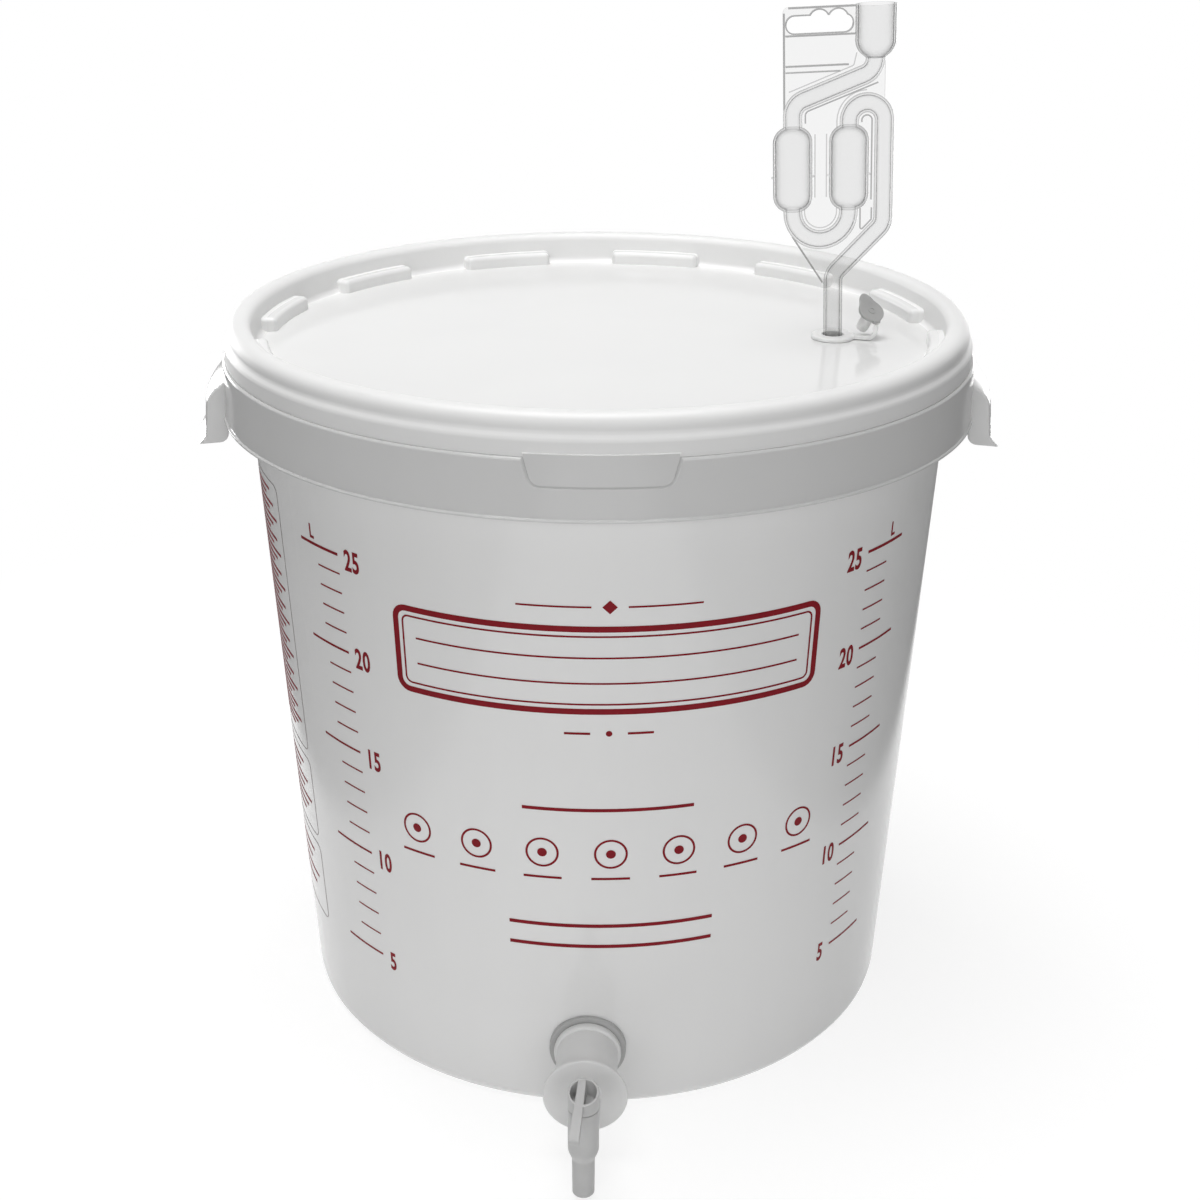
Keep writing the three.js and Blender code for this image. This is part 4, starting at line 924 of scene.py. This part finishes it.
def plug_cup():
    """The plug's head: a thin cup whose rim slopes down to the front."""
    low, front, back = SPOUT_UP + 0.3, 6.2, 11.3
    high = low + 2 * back
    cup_shell = spun([(0, low), (SPOUT_RADIUS, low), (SPOUT_RADIUS, high), (SPOUT_RADIUS - 1.2, high),
                      (SPOUT_RADIUS - 1.2, low + 2), (0, low + 2)], SMALL_STEPS, [(1, 0.5), (4, 0.8)])
    slope = (back - front) / (2 * SPOUT_RADIUS)
    geom = cup_shell.verts[:] + cup_shell.edges[:] + cup_shell.faces[:]
    bmesh.ops.bisect_plane(cup_shell, geom=geom, dist=1e-4, plane_co=(0, -SPOUT_RADIUS, low + front),
                           plane_no=Vector((0, -slope, 1)).normalized(), clear_outer=True)
    rim = [edge for edge in cup_shell.edges if edge.is_boundary]
    made = bmesh.ops.bridge_loops(cup_shell, edges=rim)
    bmesh.ops.recalc_face_normals(cup_shell, faces=cup_shell.faces)
    border = {edge for face in made["faces"] for edge in face.edges if edge.calc_face_angle(0) > 0.6}
    round_edges(cup_shell, list(border), 0.35, 3)
    return cup_shell


def plug_lever():
    """A blade across the cup that slopes down to a rounded tip at the front."""
    low = SPOUT_UP + 0.3 + 1.6
    rim = SPOUT_UP + 0.3 + 6.2
    slope = 5.1 / (2 * SPOUT_RADIUS)
    back, tip = SPOUT_RADIUS - 1.2, 24.6
    corners = [(-back, low), (SPOUT_RADIUS, low), (tip, rim - slope * (tip - SPOUT_RADIUS) - 2.6),
               (tip, rim - slope * (tip - SPOUT_RADIUS)), (-back, rim + slope * (SPOUT_RADIUS + back))]
    blade = slab(corners, -LEVER_HALF, LEVER_HALF)
    for vert in blade.verts:
        vert.co.y *= 1 + LEVER_FLARE * max(0.0, vert.co.x) / tip
    round_edges(blade, [edge for edge in blade.edges if edge.calc_face_angle(0) > 0.3], 0.6, 4)
    return moved(blade, Matrix.Translation((-1.3, 0, 0)) @ Matrix.Rotation(-math.pi / 2, 4, "Z"))


def make_tap_plug():
    core_low = SPOUT_DOWN + 2.3
    core = spun([(0, core_low), (5.6, core_low), (5.6, SPOUT_UP + 0.6), (0, SPOUT_UP + 0.6)], SMALL_STEPS)
    way = spun([(0, core_low - 1), (4, core_low - 1), (4, SPOUT_UP - 1.7), (0, SPOUT_UP - 1.7)], SMALL_STEPS)
    port = moved(spun([(0, 0), (4, 0), (4, 12), (0, 12)], SMALL_STEPS), Matrix.Rotation(math.pi / 2, 4, "Y"))
    plug = shape("tap_lever", plug_cup())
    combine(plug, ("UNION", core), ("UNION", plug_lever()), ("DIFFERENCE", way), ("DIFFERENCE", port))
    place = tap_frame() @ Matrix.Translation((0, -SPOUT_AXIS, 0)) @ Matrix.Rotation(PLUG_SWING, 4, "Z")
    finished(plug, place)
    return dressed(plug, "tap_plug", "tap_plastic", tap_plastic.material, "tap_plug")


def make_tap_washer():
    """The rubber washer between the tap's flange and the round wall: its back follows the wall."""
    front = FLANGE_BACK - 0.3
    ring = spun([(12.3, TAP_WALL), (19.15, TAP_WALL), (19.15, front), (12.3, front)], 96, [(2, 0.7)])
    for vert in ring.verts:
        if abs(vert.co.z - TAP_WALL) < 0.01:
            radius = wall_radius(TAP_HEIGHT + vert.co.y) + 0.3
            vert.co.z = math.sqrt(radius ** 2 - vert.co.x ** 2)
    washer = finished(shape("tap_washer", ring), tap_frame() @ ALONG_TAP)
    return dressed(washer, "bucket", "grey_rubber", washer_rubber_and_shade.material, "tap_gasket")


# Printed scales and panels, drawn flat: x is arc length, y is height
PRINT_RADIUS = 172.0
PRINT_LIFT = 0.04
PRINT_THICKNESS = 0.07
PRINT_CENTRE = 0.031


def litre_height(litres):
    return 0.25 + 13.32 * litres - 0.07 * litres ** 2


def on_wall(bm):
    """Gives a flat print its thickness and wraps it on the bucket's wall."""
    bmesh.ops.recalc_face_normals(bm, faces=bm.faces)
    for face in bm.faces:
        if face.normal.z < 0:
            face.normal_flip()
    grown = bmesh.ops.extrude_face_region(bm, geom=bm.faces[:], use_keep_orig=True)["geom"]
    bmesh.ops.translate(bm, vec=(0, 0, PRINT_THICKNESS), verts=[g for g in grown if isinstance(g, bmesh.types.BMVert)])
    for vert in bm.verts:
        angle, radius = vert.co.x / PRINT_RADIUS, wall_radius(vert.co.y) + PRINT_LIFT + vert.co.z
        vert.co = (radius * math.sin(angle), -radius * math.cos(angle), vert.co.y)
    bmesh.ops.recalc_face_normals(bm, faces=bm.faces)
    return bm


def stroke(bm, first, last, height, thickness):
    """A level line between two angles."""
    pieces = max(1, round(abs(last - first) * PRINT_RADIUS / 3))
    middle = Vector(((first + last) / 2 * PRINT_RADIUS, height, 0))
    size = Matrix.Diagonal((abs(last - first) * PRINT_RADIUS, thickness, 1, 1))
    bmesh.ops.create_grid(bm, x_segments=pieces, y_segments=1, size=0.5, matrix=Matrix.Translation(middle) @ size)


def outline(bm, first, last, low, high, corner, thickness):
    """A rectangle's outline with round corners."""
    width, tall = (last - first) * PRINT_RADIUS, high - low
    middle = Vector(((first + last) / 2 * PRINT_RADIUS, (low + high) / 2, 0))
    panel = bmesh.new()
    bmesh.ops.create_grid(panel, x_segments=1, y_segments=1, size=0.5,
                          matrix=Matrix.Translation(middle) @ Matrix.Diagonal((width, tall, 1, 1)))
    bmesh.ops.bevel(panel, geom=panel.verts[:], offset=corner, offset_type="OFFSET", segments=6, profile=0.5,
                    affect="VERTICES", material=-1)
    inside = panel.faces[:]
    bmesh.ops.inset_region(panel, faces=inside, thickness=thickness, use_boundary=True, use_even_offset=True)
    bmesh.ops.delete(panel, geom=inside, context="FACES")
    long_edges = [edge for edge in panel.edges if abs(edge.verts[0].co.x - edge.verts[1].co.x) > 6]
    bmesh.ops.subdivide_edges(panel, edges=long_edges, cuts=max(2, round(width / 4)), use_grid_fill=True)
    add_to(bm, panel)


def add_to(bm, part):
    mesh = bpy.data.meshes.new("mark")
    part.to_mesh(mesh)
    part.free()
    bm.from_mesh(mesh)
    bpy.data.meshes.remove(mesh)


def round_ring(bm, angle, height, radius, thickness):
    part = bmesh.new()
    bmesh.ops.create_circle(part, cap_ends=True, radius=radius, segments=48,
                            matrix=Matrix.Translation((angle * PRINT_RADIUS, height, 0)))
    inside = part.faces[:]
    bmesh.ops.inset_region(part, faces=inside, thickness=thickness, use_boundary=True, use_even_offset=True)
    bmesh.ops.delete(part, geom=inside, context="FACES")
    add_to(bm, part)


def dot(bm, angle, height, radius, sides=32):
    bmesh.ops.create_circle(bm, cap_ends=True, radius=radius, segments=sides,
                            matrix=Matrix.Translation((angle * PRINT_RADIUS, height, 0)))


def numeral(bm, words, angle, height, tall, squeeze=0.66):
    curve = bpy.data.curves.new("numeral", "FONT")
    curve.body = words
    curve.size = tall / 0.72
    curve.align_x = "CENTER"
    curve.offset = 0.036 * tall
    curve.space_character = 1.08
    curve.resolution_u = 4
    letters = bpy.data.objects.new("numeral", curve)
    bpy.context.scene.collection.objects.link(letters)
    graph = bpy.context.evaluated_depsgraph_get()
    mesh = bpy.data.meshes.new_from_object(letters.evaluated_get(graph))
    bpy.data.objects.remove(letters)
    part = bmesh.new()
    part.from_mesh(mesh)
    bpy.data.meshes.remove(mesh)
    bmesh.ops.transform(part, matrix=Matrix.Translation((angle * PRINT_RADIUS, height - tall / 2, 0))
                        @ Matrix.Diagonal((squeeze, 1, 1, 1)), verts=part.verts)
    add_to(bm, part)


def make_litre_scales():
    bm = bmesh.new()
    for side, inner, drift in ((-1, 0.7269, 0.0013), (1, 0.8324, -0.0012)):
        for litres in range(5, 26):
            major = litres % 5 == 0
            first = side * (inner + drift * litres)
            last = first + side * (0.174 if major else 0.096)
            thick = 1.5 if litres == 25 else (1.2 if major else 0.85)
            stroke(bm, first, last, litre_height(litres), thick)
            if major:
                numeral(bm, str(litres), first - side * (0.055 if litres > 5 else 0.046), litre_height(litres) - 1.0, 10.6)
        numeral(bm, "L", side * (inner + drift * 25 + 0.115), litre_height(25) + 6.4, 7.2, 0.75)
    scales = shape("litre_scales", on_wall(bm))
    return dressed(finished(scales), "bucket", "", red_ink.material)


def make_front_panel():
    """Plain write-on panels and rules in the scale's ink."""
    bm = bmesh.new()
    for side in (-1, 1):
        stroke(bm, PRINT_CENTRE + side * 0.047, PRINT_CENTRE + side * 0.241, 284.0, 0.9)
        stroke(bm, PRINT_CENTRE + side * 0.05, PRINT_CENTRE + side * 0.12, 219.5, 1.2)
    dot(bm, PRINT_CENTRE, 284.0, 3.4, 4)
    dot(bm, PRINT_CENTRE, 219.5, 1.5)
    outline(bm, PRINT_CENTRE - 0.6, PRINT_CENTRE + 0.6, 229.5, 274.5, 7.0, 3.0)
    outline(bm, PRINT_CENTRE - 0.572, PRINT_CENTRE + 0.572, 234.3, 269.7, 3.6, 0.9)
    for height in (245.5, 258.5):
        stroke(bm, PRINT_CENTRE - 0.53, PRINT_CENTRE + 0.53, height, 0.9)
    stroke(bm, PRINT_CENTRE - 0.24, PRINT_CENTRE + 0.24, 178.0, 1.8)
    for number in range(-3, 4):
        angle = PRINT_CENTRE + 0.008 + 0.194 * number
        round_ring(bm, angle, 153.5, 8.2, 1.1)
        dot(bm, angle, 153.5, 2.4)
        stroke(bm, angle - 0.055, angle + 0.055, 139.5, 1.3)
    for height in (112.0, 100.0):
        stroke(bm, PRINT_CENTRE + 0.012 - 0.3, PRINT_CENTRE + 0.012 + 0.3, height, 2.0)
    panel = shape("front_panel", on_wall(bm))
    return dressed(finished(panel), "bucket", "", red_ink.material)


def make_side_panel():
    """Thin frames with plain rules for notes on the left flank."""
    frames, rules = bmesh.new(), bmesh.new()
    for low, high, gap in ((160.0, 307.0, 3.7), (108.0, 155.0, 5.2), (56.0, 103.0, 7.4)):
        outline(frames, -1.86, -1.078, low, high, 5.0, 0.5)
        for step in range(1, int((high - low) / gap) - 1):
            indent = 0.022 * (step * 7 % 5)
            stroke(rules, -1.8, -1.115 - indent, high - 2 - gap * step, 1.5)
    dressed(finished(shape("side_frames", on_wall(frames))), "bucket", "", grey_ink.material)
    return dressed(finished(shape("side_rules", on_wall(rules))), "bucket", "", red_ink.material)


make_bucket()
make_lid()
make_airlock()
make_grommet()
make_stopper()
make_tap_body()
make_tap_plug()
make_tap_washer()
make_litre_scales()
make_front_panel()
make_side_panel()

for node, finish in (("lid_gasket", white_rubber), ("tap_inner_gasket", washer_rubber_and_shade), ("tap_nut", tap_plastic)):
    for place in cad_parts[node].material_slots:
        place.material = finish.material


# Studio
def soft_lamp(name, place, target, size, power):
    data = bpy.data.lights.new(name, "AREA")
    data.shape = "RECTANGLE"
    data.size, data.size_y = size
    data.energy = power
    lamp = bpy.data.objects.new(name, data)
    lamp.location = place
    lamp.rotation_euler = (Vector(target) - Vector(place)).to_track_quat("-Z", "Y").to_euler()
    bpy.context.scene.collection.objects.link(lamp)
    return lamp


def seen_ray(nodes, links):
    """1 for rays from the camera, mirrors and clear plastic, 0 for the rest."""
    path = nodes.new("ShaderNodeLightPath")
    total = path.outputs["Is Camera Ray"]
    for name in ("Is Glossy Ray", "Is Transmission Ray"):
        largest = nodes.new("ShaderNodeMath")
        largest.operation = "MAXIMUM"
        links.new(total, largest.inputs[0])
        links.new(path.outputs[name], largest.inputs[1])
        total = largest.outputs[0]
    return total


def make_floor():
    bm = bmesh.new()
    bmesh.ops.create_grid(bm, x_segments=4, y_segments=4, size=40.0)
    floor = shape("floor", bm)
    finish = Finish("pale_floor")
    finish.set(Base_Color=(0.8, 0.8, 0.8, 1), Roughness=0.9, Specular_IOR_Level=0.0, Emission_Color=(1, 1, 1, 1))
    distance = finish.nodes.new("ShaderNodeVectorMath")
    distance.operation = "LENGTH"
    finish.links.new(finish.place, distance.inputs[0])
    away = finish.between(distance.outputs["Value"], 0.0, 1.0, 0.3, 0.75)
    finish.links.new(finish.between(away, 0.16, 0.0, 0.0, 1.0), finish.shader.inputs["Emission Strength"])
    glow = finish.nodes.new("ShaderNodeEmission")
    aside = finish.nodes.new("ShaderNodeVectorMath")
    aside.operation = "LENGTH"
    finish.links.new(finish.stretched((1, 0, 0)), aside.inputs[0])
    path = finish.nodes.new("ShaderNodeLightPath")
    flag = finish.nodes.new("ShaderNodeMath")
    flag.operation = "MULTIPLY"
    finish.links.new(finish.between(aside.outputs["Value"], 0.0, 0.75, 0.31, 0.36), flag.inputs[0])
    finish.links.new(path.outputs["Is Glossy Ray"], flag.inputs[1])
    left_over = finish.nodes.new("ShaderNodeMath")
    left_over.operation = "SUBTRACT"
    finish.links.new(finish.between(away, 0.8, 1.0, 0.0, 1.0), left_over.inputs[0])
    finish.links.new(flag.outputs[0], left_over.inputs[1])
    finish.links.new(left_over.outputs[0], glow.inputs["Strength"])
    shade = finish.nodes.new("ShaderNodeBsdfDiffuse")
    finish.links.new(finish.blend(away, (0.3, 0.3, 0.3), (0.0, 0.0, 0.0)), shade.inputs["Color"])
    lit = finish.nodes.new("ShaderNodeAddShader")
    finish.links.new(glow.outputs[0], lit.inputs[0])
    finish.links.new(shade.outputs[0], lit.inputs[1])
    mix = finish.nodes.new("ShaderNodeMixShader")
    finish.links.new(seen_ray(finish.nodes, finish.links), mix.inputs[0])
    finish.links.new(finish.shader.outputs[0], mix.inputs[1])
    finish.links.new(lit.outputs[0], mix.inputs[2])
    finish.links.new(mix.outputs[0], finish.output.inputs["Surface"])
    floor.data.materials.append(finish.material)


def make_world():
    world = bpy.data.worlds.new("studio")
    bpy.context.scene.world = world
    world.use_nodes = True
    nodes, links = world.node_tree.nodes, world.node_tree.links
    plain = nodes["Background"]
    plain.inputs["Color"].default_value = (1, 1, 1, 1)
    plain.inputs["Strength"].default_value = 0.04
    white = nodes.new("ShaderNodeBackground")
    white.inputs["Color"].default_value = (1, 1, 1, 1)
    white.inputs["Strength"].default_value = 1.0
    mix = nodes.new("ShaderNodeMixShader")
    links.new(seen_ray(nodes, links), mix.inputs[0])
    links.new(plain.outputs[0], mix.inputs[1])
    links.new(white.outputs[0], mix.inputs[2])
    links.new(mix.outputs[0], nodes["World Output"].inputs["Surface"])


def make_camera():
    data = bpy.data.cameras.new("camera")
    data.sensor_width = 36.0
    data.lens = 54.14
    camera = bpy.data.objects.new("camera", data)
    bpy.context.scene.collection.objects.link(camera)
    ahead = Vector((0.00121, 0.91863, -0.39512)).normalized()
    level = ahead.cross(Vector((0, 0, 1))).normalized()
    upward = level.cross(ahead)
    roll = 0.00375
    right = level * math.cos(roll) + upward * math.sin(roll)
    upward = right.cross(ahead)
    axes = Matrix((right, upward, -ahead)).transposed().to_4x4()
    camera.matrix_world = Matrix.Translation((0.0, -0.90716, 0.60219)) @ axes
    bpy.context.scene.camera = camera


make_floor()
make_world()
make_camera()
soft_lamp("top_box", (-0.12, 0.0, 1.8), (0, 0, 0.37), (1.0, 1.0), 20.7)
soft_lamp("front_box", (-0.05, -2.0, 0.8), (0, 0, 0.2), (2.8, 0.9), 17.5)
soft_lamp("right_edge", (0.75, 1.3, 0.2), (0.1, 0, 0.1), (0.5, 0.5), 2.6)
soft_lamp("left_edge", (-0.9, 1.0, 0.3), (-0.1, 0, 0.1), (0.5, 0.5), 5.5)
bpy.context.scene.view_settings.view_transform = "Standard"
